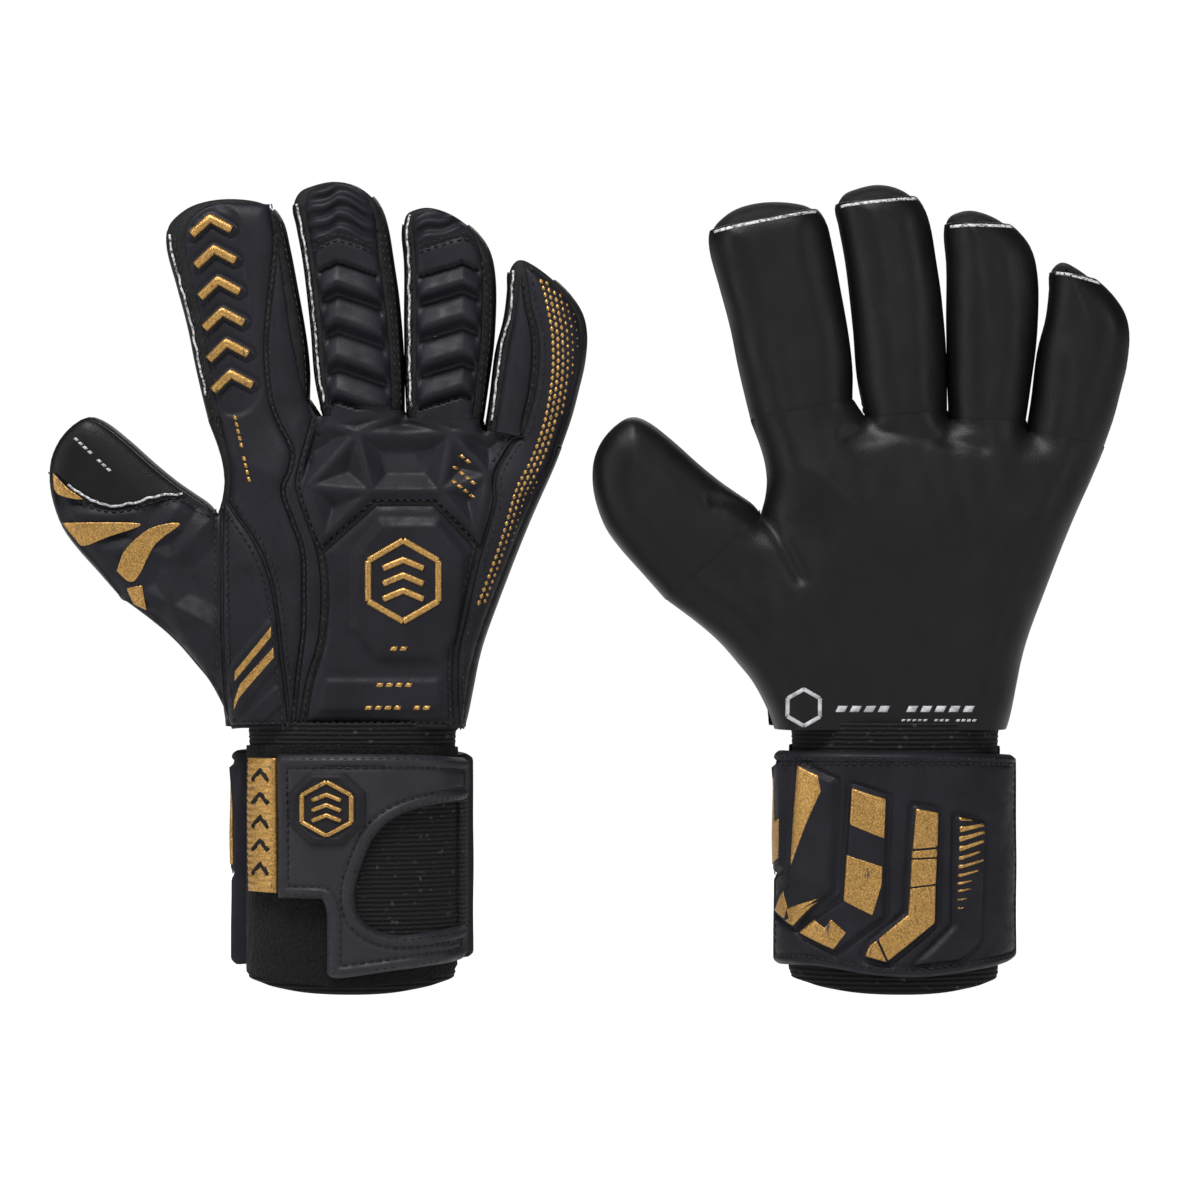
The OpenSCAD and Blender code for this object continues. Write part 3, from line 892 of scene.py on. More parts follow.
def ridge_relief(points, nodes, ridges, flat, slope, most):
    """Flat ridges between named nodes, with sunken pyramids between them."""
    d = np.full(len(points), 1e9)
    for a, b in ridges:
        d = np.minimum(d, distance(points, [nodes[a], nodes[b]]))
    return -np.minimum(np.maximum(d - flat, 0) * slope, most)


STAR = {"A": (14, 201), "B": (31.3, 209.5), "C": (48, 201), "D": (3, 205), "E": (-0.5, 190),
        "F": (-3, 182), "G": (2, 162), "H": (19.5, 180), "I": (44, 180), "J": (57.5, 163),
        "K": (61.5, 186), "L": (60, 202), "M": (74, 200)}
STAR_RIDGES = ("AB", "BC", "AC", "AD", "AF", "FH", "FG", "GH", "AH", "HI", "CI", "IJ", "IK", "CK",
               "CL",
               "BD", "BL", "JK", "KM")


def from_base(points, base):
    return ease((distance(points, BASES[base]) - 0.3) / 2.5)


def star_relief(points, e):
    relief = ridge_relief(points, STAR, STAR_RIDGES, 0.9, 0.75, 4.2) * ease(e / 1.5)
    return relief * from_base(points, 1) * from_base(points, 2)


FACETS = {"A": (-88, 171), "B": (-66, 172), "C": (-78, 158), "D": (-62, 160), "E": (-65.5, 144),
          "F": (-51, 173.5), "G": (-38.5, 170), "H": (-52.8, 155), "I": (-52.8, 139),
          "J": (-36, 131),
          "K": (-43, 118)}
FACET_RIDGES = ("AB", "BD", "CD", "DE", "DF", "DH", "GH", "HI", "EI", "IJ", "IK", "CE", "AC")


def thumb_facets(points, e):
    return ridge_relief(points, FACETS, FACET_RIDGES, 0.5, 0.34, 2.2) * ease(e / 1.5)


GUSSET_BARS = [[(-29.6, 112), (-16.3, 128), (-16.4, 131.6), (-29.4, 115.6)],
               [(-30, 101.5), (-28, 106), (-15.3, 120.6), (-15.6, 124.2), (-27.6, 111),
                (-29.8, 105)]]
GUSSET_RIDGES = [[(-31, 113), (-15.8, 131)], [(-30.5, 102), (-14.8, 121.5)],
                 [(-25, 96), (-13.5, 107)]]


def gusset_relief(points, e):
    """Raised bands that run down towards the thumb."""
    relief = np.zeros(len(points))
    for ridge in GUSSET_RIDGES:
        relief = relief + 0.8 * (1 - ease((distance(points, ridge) - 2.2) / 1.6))
    return (relief - 0.4) * ease(e / 2)


PAD_OCTAGON = [(22, 171), (44, 171), (55, 158), (53, 128), (44, 118), (21, 118), (11.5, 130),
               (11.5, 158)]


def pad_relief(points, e):
    """A raised octagon with bevelled sides, standing in a lower frame."""
    ring = outline(*[[PAD_OCTAGON[i], PAD_OCTAGON[(i + 1) % 8]] for i in range(8)])
    d = distance(points, ring, True) * np.where(inside(points, ring), 1, -1)
    rise = 2.2 * ease((d + 0.5) / 4.5)
    lower = 1.0 * ease((114 - points[:, 1]) / 3) * ease((e - 3) / 3)
    return rise + lower - 0.6


def index_relief(points, e):
    """A sunken border round the raised column that carries the gold marks."""
    d = distance(points, smooth(MARK_LINE))
    sunk = -1.0 * ease((10.6 - d) / 1.8)
    for bar in chevron_bars():
        d = distance(points, bar)
        sunk = sunk - 0.7 * np.exp(-((d - 2.2) / 0.8) ** 2) + 0.9 * ease((2.2 - d) / 1.0)
    return sunk * ease(e / 2.0)


MARK_LINE = [(-30.6, 217), (-33.2, 236), (-35.9, 256), (-38.4, 275)]


def rib_relief(points, e, bent, troughs):
    """Cushion-like ribs across a finger: each falls steeply into a trough and rises slowly."""
    relief = np.zeros(len(points))
    for low, high in zip(troughs[:-1], troughs[1:]):
        t = np.clip((bent - low) / (high - low), 0, 1)
        rib = 4.6 * ease(t / 0.34) * (1 - np.clip((t - 0.4) / 0.6, 0, 1) ** 1.2)
        relief = np.where((bent >= low) & (bent < high), rib - 3.0, relief)
    return relief * ease((e - 0.2) / 1.8)


def middle_relief(points, e):
    x, z = points[:, 0], points[:, 1]
    bent = z + np.where(x < 7, 0.45 * (7 - x), 0.33 * (x - 7))
    ribs = rib_relief(points, e, bent, (212, 224, 237.5, 251, 263.5))
    return (ribs + tip_waves(x, bent, 273) - tip_seam(bent, 271.5)) * from_base(points, 1)


def ring_relief(points, e):
    x, z = points[:, 0], points[:, 1]
    bent = z - np.where(x < 52, 0.3 * (x - 52), -0.4 * (x - 52))
    ribs = rib_relief(points, e, bent, (214, 226, 239, 252, 263))
    return (ribs + tip_waves(x, bent, 273.5) - tip_seam(bent, 272)) * from_base(points, 2)


def tip_seam(bent, at):
    return 0.8 * np.exp(-((bent - at) / 0.8) ** 2)


def tip_waves(x, bent, above):
    """Wavy embossed bars on a fingertip."""
    line = np.sin((bent - above) * math.tau / 5.6 + 0.9 * np.sin(x * math.tau / 14))
    return 1.1 * line * ease((bent - above) / 2)


# ---------------------------------------------------------------- digits

def silhouette(digit, under=0.0):
    """A digit's outline, carried on past its base into the hand by a distance."""
    line = DIGITS[digit][2]
    first = np.array(line[0]) - along(digit) * under
    last = np.array(line[-1]) - along(digit) * under
    middle = (first + last) / 2
    first, last = first + (middle - first) * 0.04 * under, last + (middle - last) * 0.04 * under
    if under:
        return outline(line, [line[-1], last], [last, first], [first, line[0]], step=1.0)
    return outline(line, step=1.0)


def dipped(points, digit):
    """How far a digit's skin drops where it runs under the hand's."""
    base = np.array([DIGITS[digit][2][0], DIGITS[digit][2][-1]])
    run = (points - base[0]) @ np.array([-(base[1] - base[0])[1], (base[1] - base[0])[0]])
    run = run / np.linalg.norm(base[1] - base[0])
    return 0.9 * ease((-0.1 - run) / 1.6)


def trim_tip(ring, digit, at):
    """A digit's outline cut straight across, at a distance beyond the hinge."""
    s = reach(ring, digit)
    kept = ring[s < at]
    first = np.argmax(np.linalg.norm(np.roll(kept, -1, 0) - kept, axis=1))
    kept = np.roll(kept, -(first + 1), 0)
    bridge = smooth([kept[-1], kept[0]], 1.0)[1:-1]
    return np.vstack([kept, bridge])


TIP_CUT = {"index": 56.5, "middle": 65, "ring": 57.5, "pinky": 45.5}
ROLL_RINGS = (0.3, 0.8, 1.5, 2.5, 3.8, 5.4)
ROLL_RIM = ((-0.25, 1.4), (-0.1, 3.2), (0.5, 5.2), (1.5, 6.8), (2.8, 8.0))


CREASE = [(-7, 200), (3, 201.3), (13, 201), (26, 199), (42, 196)]
THUMB_FOLD = [(-54.5, 177), (-45, 175), (-35, 169), (-29.5, 160), (-26.6, 154), (-24, 149)]


def palm_depth(points, e=None):
    """The palm side: a smooth swelling with the folds of the knuckles and the thumb."""
    x, z = points[:, 0], points[:, 1]
    body = glove_palm(points)
    body = body - 1.0 * np.exp(-(distance(points, smooth(CREASE)) / 2.4) ** 2)
    body = body - 1.8 * np.exp(-(distance(points, smooth(THUMB_FOLD)) / 2.2) ** 2)
    return (body + 0.7 * ripple(x, z, 55, 3) * ease(edge_distance(points) / 10)
            + 0.25 * ripple(x, z, 24, 5) + 0.1 * ripple(x, z, 9, 6))


def make_rolls():
    """Latex rolled round the palm side and both flanks of each digit."""
    for digit in DIGITS:
        ring = silhouette(digit, 5.0)
        if digit in TIP_CUT:
            ring = trim_tip(ring, digit, TIP_CUT[digit])

        def depth(points, e):
            return palm_depth(points) - dipped(points, digit)
        shape = panel(ring, depth, PALM, 1.6, ROLL_RINGS, ROLL_RIM)
        piece(digit + "_latex", digit, shape, LATEX, (digit + "_roll",))


def make_backings():
    """The backing cloth of each finger, which bulges over the tip as foam."""
    for digit in FINGERS:
        ring = inset(silhouette(digit, 6.0), 0.9, 1.0)
        shape = panel(ring, lambda p, e: glove_back(p) - 0.2 - tucked(e, 0.6, 1.0) - dipped(p,
                digit)
                      - under_foam(p), BACK, 1.4,
                      (0.5, 1.2, 2.2), ((-0.1, 2.0), (-0.1, 6.0), (0.8, 10.0), (2.2, 13.0),
                                        (4.5, 15.5)))
        piece(digit + "_backing", digit, shape, SEAM)


THUMB_TOP = [(-96.6, 189), (-90, 183), (-84, 178.6), (-75, 175), (-66, 176.2), (-57, 178.8),
             (-49, 179.4),
             (-41.5, 175.4), (-37.4, 172.6)]
THUMB_LOW = [(-71.3, 142.4), (-79.3, 151.6), (-87.2, 160.5), (-92.3, 168), (-95.2, 176),
             (-96.2, 183),
             (-96.6, 189)]


def make_thumb_back():
    foam = outline(THUMB_TOP[:-1] + BASES[4][1:], BASES[4][::-1], BASES[4][:1] + THUMB_LOW[1:],
                   step=1.0)
    foam_piece("thumb_foam", "thumb", foam, ("thumb_back",), thumb_facets, 0.9, lift=1.4, gap=0.3,
               open_at=[BASES[4]])
    ring = silhouette("thumb", 5.0)
    shape = panel(inset(ring, 1.2, 1.0), lambda p, e: glove_back(p) + 0.2 - tucked(e, 0.6, 1.0)
                  - dipped(p, "thumb") - under_foam(p), BACK, 1.2,
                  (0.5, 1.2, 2.2), ((-0.1, 2.0), (0.2, 5.0), (1.5, 8.0)))
    piece("thumb_backing", "thumb", shape, LATEX)


# ---------------------------------------------------------------- seams and stitching

def offset(line, d, step=1.2):
    line = smooth(line, step)
    return line + side_normals(line, False) * d


def above(level):
    return lambda points: glove_back(points) + level


def level_at(depth):
    return lambda points: np.full(len(points), depth)


def part_of(line, low, high):
    """The stretch of a line between two heights."""
    line = smooth(line, 1.0)
    return line[(line[:, 1] >= low) & (line[:, 1] <= high)]


def make_stitching():
    rows = {
        "hand": [(offset(THUMB_SEAM, 2.1), 0.85), (offset(THUMB_SEAM[:3] + [(-33.4, 106)], -2.1),
                                                   0.85),
                 (offset(GUSSET_SEAM, 2.1), 0.8), (offset(PINKY_SEAM[1:], -2.6), 0.6),
                 (offset(FLEX_SEAM, 0.3), 0.0), (offset(PAD_TOP[:2], 0.4), 0.0),
                 (offset(PAD_TOP[1:3], 0.4), 0.0),
                 (offset(PAD_TOP[2:], 0.4), 0.0),
                 (smooth([(-28, 97.2), (48, 97.2)]), 0.95)],
        "index": [(offset(GUSSET_SEAM, -2.2), 0.9),
                  (offset(INDEX_TIP_SEAM + INDEX_SEAM[1:], 0.3), 0.1),
                  (smooth([(-34.6, 200), (-38.6, 211), (-41.8, 225), (-44.6, 240), (-48.6, 256),
                           (-51.4, 268), (-51, 275)]), -0.25),
                  (smooth([(-13.8, 277), (-11.6, 266), (-8.8, 252), (-6.2, 238), (-4.9, 226),
                           (-4.6, 216)]), 0.0)],
        "middle": [(smooth([(2.6, 209), (0.4, 222), (-1, 240), (-3.4, 262), (-5.8, 276)]), 0.0),
                   (smooth([(0.8, 209), (-1, 222), (-2.5, 240), (-5, 262), (-7.4, 276)]), -0.5),
                   (smooth([(28.2, 211), (27.4, 228), (26, 248), (23.8, 264), (21.6, 276)]), 0.0),
                   (smooth([(29.7, 211), (28.9, 228), (27.4, 248), (25.3, 264), (23.1, 276)]),
                    -0.5),
                   (smooth([(-2.6, 266.1), (7, 270.4), (20.6, 265.9)]), 1.75),
                   (smooth([(-2.8, 268.2), (7, 272.6), (20.2, 268.2)]), 1.75)],
        "ring": [(smooth([(33.4, 209), (33.4, 240), (33.4, 262), (32.6, 274)]), 0.0),
                 (smooth([(31.9, 209), (31.9, 240), (31.9, 262), (31.2, 274)]), -0.5),
                 (smooth([(57.2, 208), (58.6, 222), (60.4, 240), (60.2, 256), (57.8, 266)]), 0.0),
                 (smooth([(58.6, 208), (60.2, 222), (61.9, 240), (61.7, 257), (59.2, 267)]), -0.5),
                 (smooth([(35.6, 266.0), (52, 270.9), (57.2, 268.8)]), 1.75),
                 (smooth([(35.4, 268.1), (52, 273.1), (56, 271.5)]), 1.75)],
        "pinky": [(offset(PINKY_TIP_SEAM + PINKY_SEAM[1:], 2.4), 0.8),
                  (smooth([(61.6, 204), (63.8, 216), (66, 231), (68.8, 243), (70, 252),
                           (70.6, 259)]), 0.0),
                  (offset([(74.4, 256), (76.4, 247), (78.6, 238), (79, 230), (78, 218),
                           (75.6, 208)], -1.0), 0.2)],
        "thumb": [(offset(THUMB_TOP, -1.9), 0.9)],
    }
    for body, lines in rows.items():
        shape = Shape()
        for line, level in lines:
            shape.merge(stitches([line], above(level)))
        piece(body + "_stitching", body, shape, THREAD)


def make_raw_edges():
    """Cut latex edges that show pale along the left flanks and across the palm-side tips."""
    flanks = {
        "index": part_of(DIGITS["index"][2][:6], 214, 274),
        "middle": part_of(DIGITS["middle"][2][:6], 212, 285),
        "ring": part_of(DIGITS["ring"][2][:6], 210, 282),
        "pinky": part_of(DIGITS["pinky"][2][:6], 206, 261),
        "thumb": smooth(THUMB_TOP[1:7], 1.0),
    }
    for digit, line in flanks.items():
        wobble = 0.25 * ripple(line[:, 0], line[:, 1], 5, 12)
        inwards = 2.1 if digit != "thumb" else 0.0
        line = line + side_normals(line, False) * (-inwards + wobble)[:, None]
        level = -0.1 if digit != "thumb" else 0.9
        shape = ribbon(line, above(level), round_profile(0.85, 0.6, 0.8, 5))
        piece(digit + "_raw_edge", digit, shape, RAW_EDGE)
    for digit, at in TIP_CUT.items():
        ring = trim_tip(silhouette(digit), digit, at)
        s = reach(ring, digit)
        line = ring[s > at - 1.5]
        left, right = line[np.argmin(line[:, 0])], line[np.argmax(line[:, 0])]
        trim = (right - left) / np.linalg.norm(right - left) * 1.3
        line = smooth([left + trim, right - trim], 1.0)
        shape = ribbon(line - along(digit) * 0.3, palm_depth, round_profile(1.1, 0.3, 2.2, 5), PALM)
        piece(digit + "_tip_edge", digit, shape, RAW_EDGE)


# ---------------------------------------------------------------- gold and silver marks

def inked(ring, depth, height=0.25, facing=BACK, place=flat_place):
    """A thin printed or raised mark that follows the surface under it."""
    return panel(ring, lambda p, e: depth(p) + height * ease((e + 0.25) / 0.5), facing, 0.9,
                 (0.3,), ((0.0, 0.5),), place)


CHEVRONS = 6


def chevron_bars():
    """Centre lines of the generic chevrons down the index finger."""
    line = smooth(MARK_LINE + [(-39.0, 280)], 0.5)
    run = run_of(line)
    bars = []
    for i in range(CHEVRONS):
        s = 4.0 + i * (run[-1] - 7.0) / (CHEVRONS - 1)
        centre = at_run(s, run, line)
        forward = at_run(s + 1, run, line) - centre
        forward /= np.linalg.norm(forward)
        side = np.array([forward[1], -forward[0]])
        arms = [centre - side * 7.2 - forward * 3.6, centre + forward * 1.6,
                centre + side * 7.2 - forward * 3.6]
        bars.append(np.vstack([smooth(arms[:2], 0.7)[:-1], smooth(arms[1:], 0.7)]))
    return bars


def chevron_marks():
    shape = Shape()
    for bar in chevron_bars():
        shape.merge(ribbon(bar, above(1.25), round_profile(3.1, 1.0, 0.5, 6)))
    return shape


SLANT = 0.25


def dashes(start, end, height, gaps):
    """A row of small slanted dashes in place of small print; gaps marks the empty places."""
    start, end = np.array(start, float), np.array(end, float)
    length = np.linalg.norm(end - start)
    u = (end - start) / length
    v = np.array([-u[1], u[0]])
    pitch = height * 1.15
    count = int(length / pitch)
    rings = []
    for i in range(count):
        if i in gaps:
            continue
        p = start + u * (i + 0.15) * pitch
        w, h = u * pitch * 0.66, v * height * 0.5 + u * height * SLANT
        rings.append(outline([p, p + w], [p + w, p + w + h], [p + w + h, p + h], [p + h, p],
                             step=0.9))
    return rings


def pad_face(points):
    return glove_back(points) + 1.25 + pad_relief(points, np.full(len(points), 9.0))


def star_face(points):
    return glove_back(points) + 1.85 + star_relief(points, np.full(len(points), 9.0))


def make_marks():
    piece("index_chevrons", "index", chevron_marks(), GOLD)

    bars = Shape()
    for bar in GUSSET_BARS:
        bars.merge(inked(outline(*closed(bar), step=1.0), above(1.55)))
    piece("gusset_bars", "hand", bars, GOLD)

    splashes = Shape()
    for points in ([(-95.6, 187), (-95, 181), (-92, 178.5), (-84.5, 177.3), (-90, 181.4)],
                   [(-92.4, 169), (-64, 168.6), (-76, 163.6), (-84.5, 160.6), (-87.6, 163.2)],
                   [(-72.5, 151.5), (-69, 159.5), (-60, 167), (-49.5, 168.6), (-58.5, 161),
                    (-64, 150.5),
                    (-67.5, 147.6)]):
        ring = outline(points + points[:1], step=0.9)
        splashes.merge(inked(ring, above(1.45)))
    piece("thumb_splashes", "thumb", splashes, GOLD)
    patch = outline(*closed([(-69, 145.4), (-66.6, 139.6), (-61.8, 137.4), (-63.2, 146.4)]),
                    step=0.9)
    piece("thumb_base_patch", "hand", inked(patch, above(1.3)), GOLD)

    emblem(EMBLEM, 14.5, "hand", "pad_emblem", lambda p: pad_face(p) + 0.05, None, flat_place)

    small = Shape()
    rows = [((25.6, 123), (35.5, 123), 3.0, ()), ((20.5, 110), (37.5, 110), 3.0, ()),
            ((16.5, 101.8), (41, 101.8), 3.0, (4,)), ((50.2, 193.2), (56, 188.4), 2.4, ()),
            ((48.0, 189.2), (58.2, 180.6), 2.4, ()), ((47.4, 184.2), (56.6, 176.8), 2.4, ())]
    for start, end, height, gaps in rows:
        for ring in dashes(start, end, height, gaps):
            small.merge(inked(ring, pad_face if start[1] < 150 else star_face))
    piece("small_marks", "hand", small, GOLD)
    small = Shape()
    for ring in dashes((-30.6, 208), (-24.6, 182), 2.2, (5,)):
        small.merge(inked(ring, above(1.35)))
    piece("index_small_marks", "index", small, GOLD)
    small = Shape()
    for ring in dashes((-88.5, 199.6), (-74.5, 186.6), 2.0, (4,)):
        small.merge(inked(ring, above(0.25)))
    piece("thumb_small_marks", "thumb", small, SILVER)

    piece("pinky_check", "pinky", check_marks(), GOLD)
    palm = Shape()
    corners = [(-22.5 + 6.6 * math.sin(math.tau * i / 6),
                102.6 + 6.6 * math.cos(math.tau * i / 6)) for i in range(7)]
    for i in range(6):
        palm.merge(ribbon(smooth(corners[i:i + 2], 0.9), palm_depth,
                          round_profile(1.4, 0.25, 0.3, 4), PALM))
    for ring in dashes((-12, 101), (40, 101), 4.4, (4,)):
        palm.merge(inked(ring, palm_depth, facing=PALM))
    for ring in dashes((12, 97.6), (40, 97.6), 1.7, (5, 9)):
        palm.merge(inked(ring, palm_depth, facing=PALM))
    piece("palm_print", "hand", palm, SILVER)


CHECK_LEFT = [(77, 261), (80, 254), (82, 245), (83.6, 235), (83.4, 221), (80.6, 205), (76, 192),
              (71, 182), (68, 172),
              (65, 162), (61.5, 152), (57, 140)]


CHECK_PITCH, CHECK_STEP, CHECK_COLUMNS = 2.5, 1.75, 6
SMALLEST_CHECK, CHECK_MARGIN = 0.28, 2.6


def check_marks():
    """Rows of small gold lozenges that shrink towards the outer edge."""
    line = smooth(CHECK_LEFT, 1.0)
    run = run_of(line)
    normals = side_normals(line, False)
    shape = Shape()
    for i in range(int(run[-1] / CHECK_PITCH * 2)):
        s = 1 + i * CHECK_PITCH / 2
        base = at_run(s, run, line)
        n = at_run(s, run, normals)
        n /= np.linalg.norm(n)
        t = np.array([-n[1], n[0]])
        spread = ease((s - 2) / 12) * (1 - 0.75 * ease((s - 55) / 45))
        for j in range(CHECK_COLUMNS):
            if (i + j) % 2:
                continue
            across = 0.9 + j * CHECK_STEP
            fade = 1 - across / (3.2 + 9.2 * spread)
            size = 1.12 * min(1.0, fade * 1.5)
            if size < SMALLEST_CHECK:
                continue
            centre = base + n * across
            long, wide = t * size * 1.1, n * size * 0.72
            corners = np.array([centre + long, centre + wide, centre - long, centre - wide])
            if area(corners) < 0:
                corners = corners[::-1]
            to_edge = edge_distance(corners).min()
            if to_edge < CHECK_MARGIN:
                continue
            level = glove_back(corners) + 1.3 - tucked(to_edge - 1.0) - 0.1
            low = flat_place(corners, level - 0.3, BACK)
            high = flat_place(centre + (corners - centre) * 0.8, level + 0.22, BACK)
            shape.add(np.vstack([low, high]), [(4, 5, 6, 7), (0, 1, 5, 4), (1, 2, 6, 5),
                                               (2, 3, 7, 6), (3, 0, 4, 7)])
    return shape


# ---------------------------------------------------------------- palm

def make_palm():
    ring = outline(HAND, step=1.2)
    shape = panel(ring, palm_depth, PALM, 1.6, ROLL_RINGS, ROLL_RIM[:4])
    piece("palm_foam", "hand", shape, LATEX, ("palm_latex",))


def make_lining():
    ring = inset(HAND, 6.0, 2.0)
    shape = Shape()
    for facing in (BACK, PALM):
        body = glove_back if facing == BACK else glove_palm

        def depth(points, e):
            return body(points) - 4.4 - tucked(e, 2.0, 2.0)
        shape.merge(panel(ring, depth, facing, 3.0, (1.5,), ((0.0, 0.6),)))
    piece("lining_mesh", "hand", shape, LINING, ("hand_lining",))


# ---------------------------------------------------------------- wrist

CUFF_TOP, RIM_RISE = 97.0, 4.6          # heights of the cuff's top, and of its rim at the sides
CUFF_COLUMNS, CUFF_ROWS = 150, 120
KNIT_RIB, KNIT_PITCH = 0.16, 1.9        # how far its ribs stand out, and how far apart


def rim_z(turn):
    """Height of the cuff's lower rim: level in the middle of each face, raised at the sides."""
    return RIM_RISE * np.abs(np.sin(turn)) ** 2.4


def cuff_row(turn, off, z):
    """A ring of points round the wrist, at a distance outside the cuff's oval."""
    return np.stack([WRIST_X + (CUFF_A + off) * np.sin(turn), -(CUFF_B + off) * np.cos(turn), z], 1)


def make_cuff():
    """The knitted cuff, a tube with fine ribs, turned over at its rim."""
    turn = np.arange(CUFF_COLUMNS) * math.tau / CUFF_COLUMNS
    low = rim_z(turn)
    rows = []
    heights = np.linspace(0, 1, CUFF_ROWS)
    for h in heights:
        z = low + (CUFF_TOP - low) * h
        rib = KNIT_RIB * np.sin(z * math.tau / KNIT_PITCH)
        folds = 0.35 * np.sin(3 * turn + h * 5) + 0.25 * np.sin(7 * turn - h * 9)
        flare = 0.9 * np.exp(-h * 16) + 0.5 * ease((h - 0.9) * 8)
        rows.append(cuff_row(turn, -0.2 + rib + folds * 0.5 + flare - 1.0 * math.exp(-h * 60), z))
    for h in heights[::-4]:             # down the inside
        rows.append(cuff_row(turn, -2.6 + 0.8 * np.exp(-h * 30),
                             low + 0.3 + (CUFF_TOP - 0.3 - low) * h))
    n, m = len(rows), CUFF_COLUMNS
    faces = [(i * m + k, i * m + (k + 1) % m, (i + 1) % n * m + (k + 1) % m, (i + 1) % n * m + k)
             for i in range(n) for k in range(m)]
    points = np.vstack(rows)
    points[:, 2] = np.maximum(points[:, 2], 0.0)
    shape = Shape()
    shape.add(points, faces)
    piece("knitted_cuff", "hand", shape, KNIT, ("cuff_elastic",))


def arc_points(points, depth=5.0):
    """An outline given in glove x and z, wrapped to arc and z."""
    return [(float(arc_of(x, depth)), z) for x, z in points]


SIDE_ARC = ARC * math.pi / 2


def make_loop_patch():
    ring = outline([(-58, 8), (-50, 6), (0, 3), (40, 6), (56, 9)], [(56, 9), (56, 88)],
                   [(56, 88), (0, 89.5), (-58, 88.5)], [(-58, 88.5), (-58, 8)], step=1.6)
    shape = panel(ring, lambda p, e: 1.0 + 0.12 * ripple(p[:, 0], p[:, 1], 6, 8) + 0 * e, BACK, 1.8,
                  (0.6,), ((0.0, 0.9),), wrist_place)
    piece("loop_pile_patch", "hand", shape, LOOP, ("loop_patch",))


STRAP_OUTLINE = [[(-15, 86), (-14.6, 60), (-14.5, 34.6)], [(-14.5, 34.6), (2, 34.6)],
                 [(2, 34.6), (3.6, 30), (3.8, 20), (3.8, 8)], [(3.8, 8), (8, 6.4), (30, 9),
                         (53, 11.6)],
                 [(53, 11.6), (54, 24)], [(54, 69), (54, 84)], [(54, 84), (30, 86), (-15, 86)]]
WINDOW = [(54, 69), (42, 67.5), (30, 64), (21.5, 57), (15.8, 44), (14.2, 36), (15.8, 28.7),
          (21.5, 23.8),
          (30, 21.6), (42, 22.2), (54, 24)]


def strap_ring():
    stretches = STRAP_OUTLINE[:5] + [WINDOW[::-1]] + STRAP_OUTLINE[5:]
    return outline(*[arc_points(s, 6.0) for s in stretches])


def strap_depth(points, e):
    """Padded along its edges: a rolled rib all round and a softer, quilted middle."""
    rib = 0.9 * np.exp(-((e - 2.4) / 1.3) ** 2)
    groove = -0.7 * np.exp(-((e - 4.6) / 0.7) ** 2)
    return 6.2 + rib + groove - tucked(e, 1.8, 0.9) + 0.12 * ripple(points[:, 0], points[:, 1], 14,
            2)


def make_strap():
    ring = strap_ring()
    shape = panel(ring, strap_depth, BACK, 0.9, (0.35, 0.8, 1.4, 2.4, 3.6),
                  ((-0.1, 1.2), (0.1, 2.2)), wrist_place)
    piece("strap_foam", "strap", shape, STRAP_FOAM, ("strap_panel",))
    shape = Shape()
    for inwards, level in ((4.6, 5.9), (1.5, 6.15)):
        line = inset(ring, inwards, 1.0)
        line = np.vstack([line, line[:1]])
        shape.merge(stitches([line], level_at(level), place=wrist_place))
    piece("strap_stitching", "strap", shape, THREAD)

    window = outline(*[arc_points(s, 4.0) for s in (
        [(52, 72), (36, 70), (22, 62), (12, 46), (10, 36), (12, 26), (20, 20), (34, 17),
         (52, 19)],)])

    def elastic(points, e):
        return 3.3 + 0.2 * np.sin(points[:, 1] * math.tau / 1.7) * ease(e / 2) - tucked(e, 0.3)
    shape = panel(window, elastic, BACK, 0.8, (0.6,), ((0.0, 0.7),), wrist_place)
    piece("strap_knit", "strap", shape, KNIT, ("strap_elastic",))

    fold = outline([(46, 13), (64, 13.5)], [(64, 13.5), (64, 83)], [(64, 83), (46, 83)],
                   [(46, 83), (46, 13)])
    shape = panel(fold, lambda p, e: 4.6 + 0.15 * np.sin(p[:, 1] * math.tau / 1.9), BACK, 0.9,
                  (0.5,),
                  ((0.0, 1.0),), wrist_place)
    piece("strap_fold", "fold", shape, KNIT)

    tab = outline(*[arc_points(s, 5.0) for s in (
        [(-25.6, 84.4), (-25.8, 60), (-25.4, 36.6)], [(-25.4, 36.6), (-14.6, 36.4)],
        [(-14.6, 36.4), (-14.8, 60), (-15, 84.6)], [(-15, 84.6), (-25.6, 84.4)])], step=1.0)

    def tab_depth(points, e):
        return 5.3 + 0.25 * np.sin(points[:, 1] * math.tau / 2.4) - tucked(e, 0.7, 0.7)
    shape = panel(tab, tab_depth, BACK, 0.7, (0.5,), ((0.0, 1.6),), wrist_place)
    piece("pull_end_tab", "strap", shape, GOLD, ("strap_tab",))
    marks = Shape()
    for i in range(5):
        z = 43.0 + i * 8.4
        bar = [(float(arc_of(x, 5.0)), z + rise) for x, rise in ((-23.2, 0), (-20.2, 3.6),
                (-17.2, 0))]
        line = without_repeats(np.vstack([smooth(bar[:2], 0.7), smooth(bar[1:], 0.7)]), 0.1)
        marks.merge(ribbon(line, level_at(5.35), round_profile(1.7, 0.45, 0.3, 4),
                           place=wrist_place))
    piece("pull_end_marks", "strap", marks, SEAM)

    hook = outline(*[arc_points(s, 3.0) for s in ([(-23, 82), (-23, 39)], [(-23, 39), (0, 39)],
                                                  [(0, 39), (0, 82)], [(0, 82), (-23, 82)])])
    shape = panel(hook, lambda p, e: 3.2 + 0.1 * ripple(p[:, 0], p[:, 1], 3, 6) + 0 * e, BACK, 1.6,
                  (0.6,), ((0.0, 0.7),), wrist_place)
    piece("hook_tape", "strap", shape, HOOK, ("hook_patch",))


EMBLEM = (31.0, 148.0)
BADGE = (4.6, 67.0)


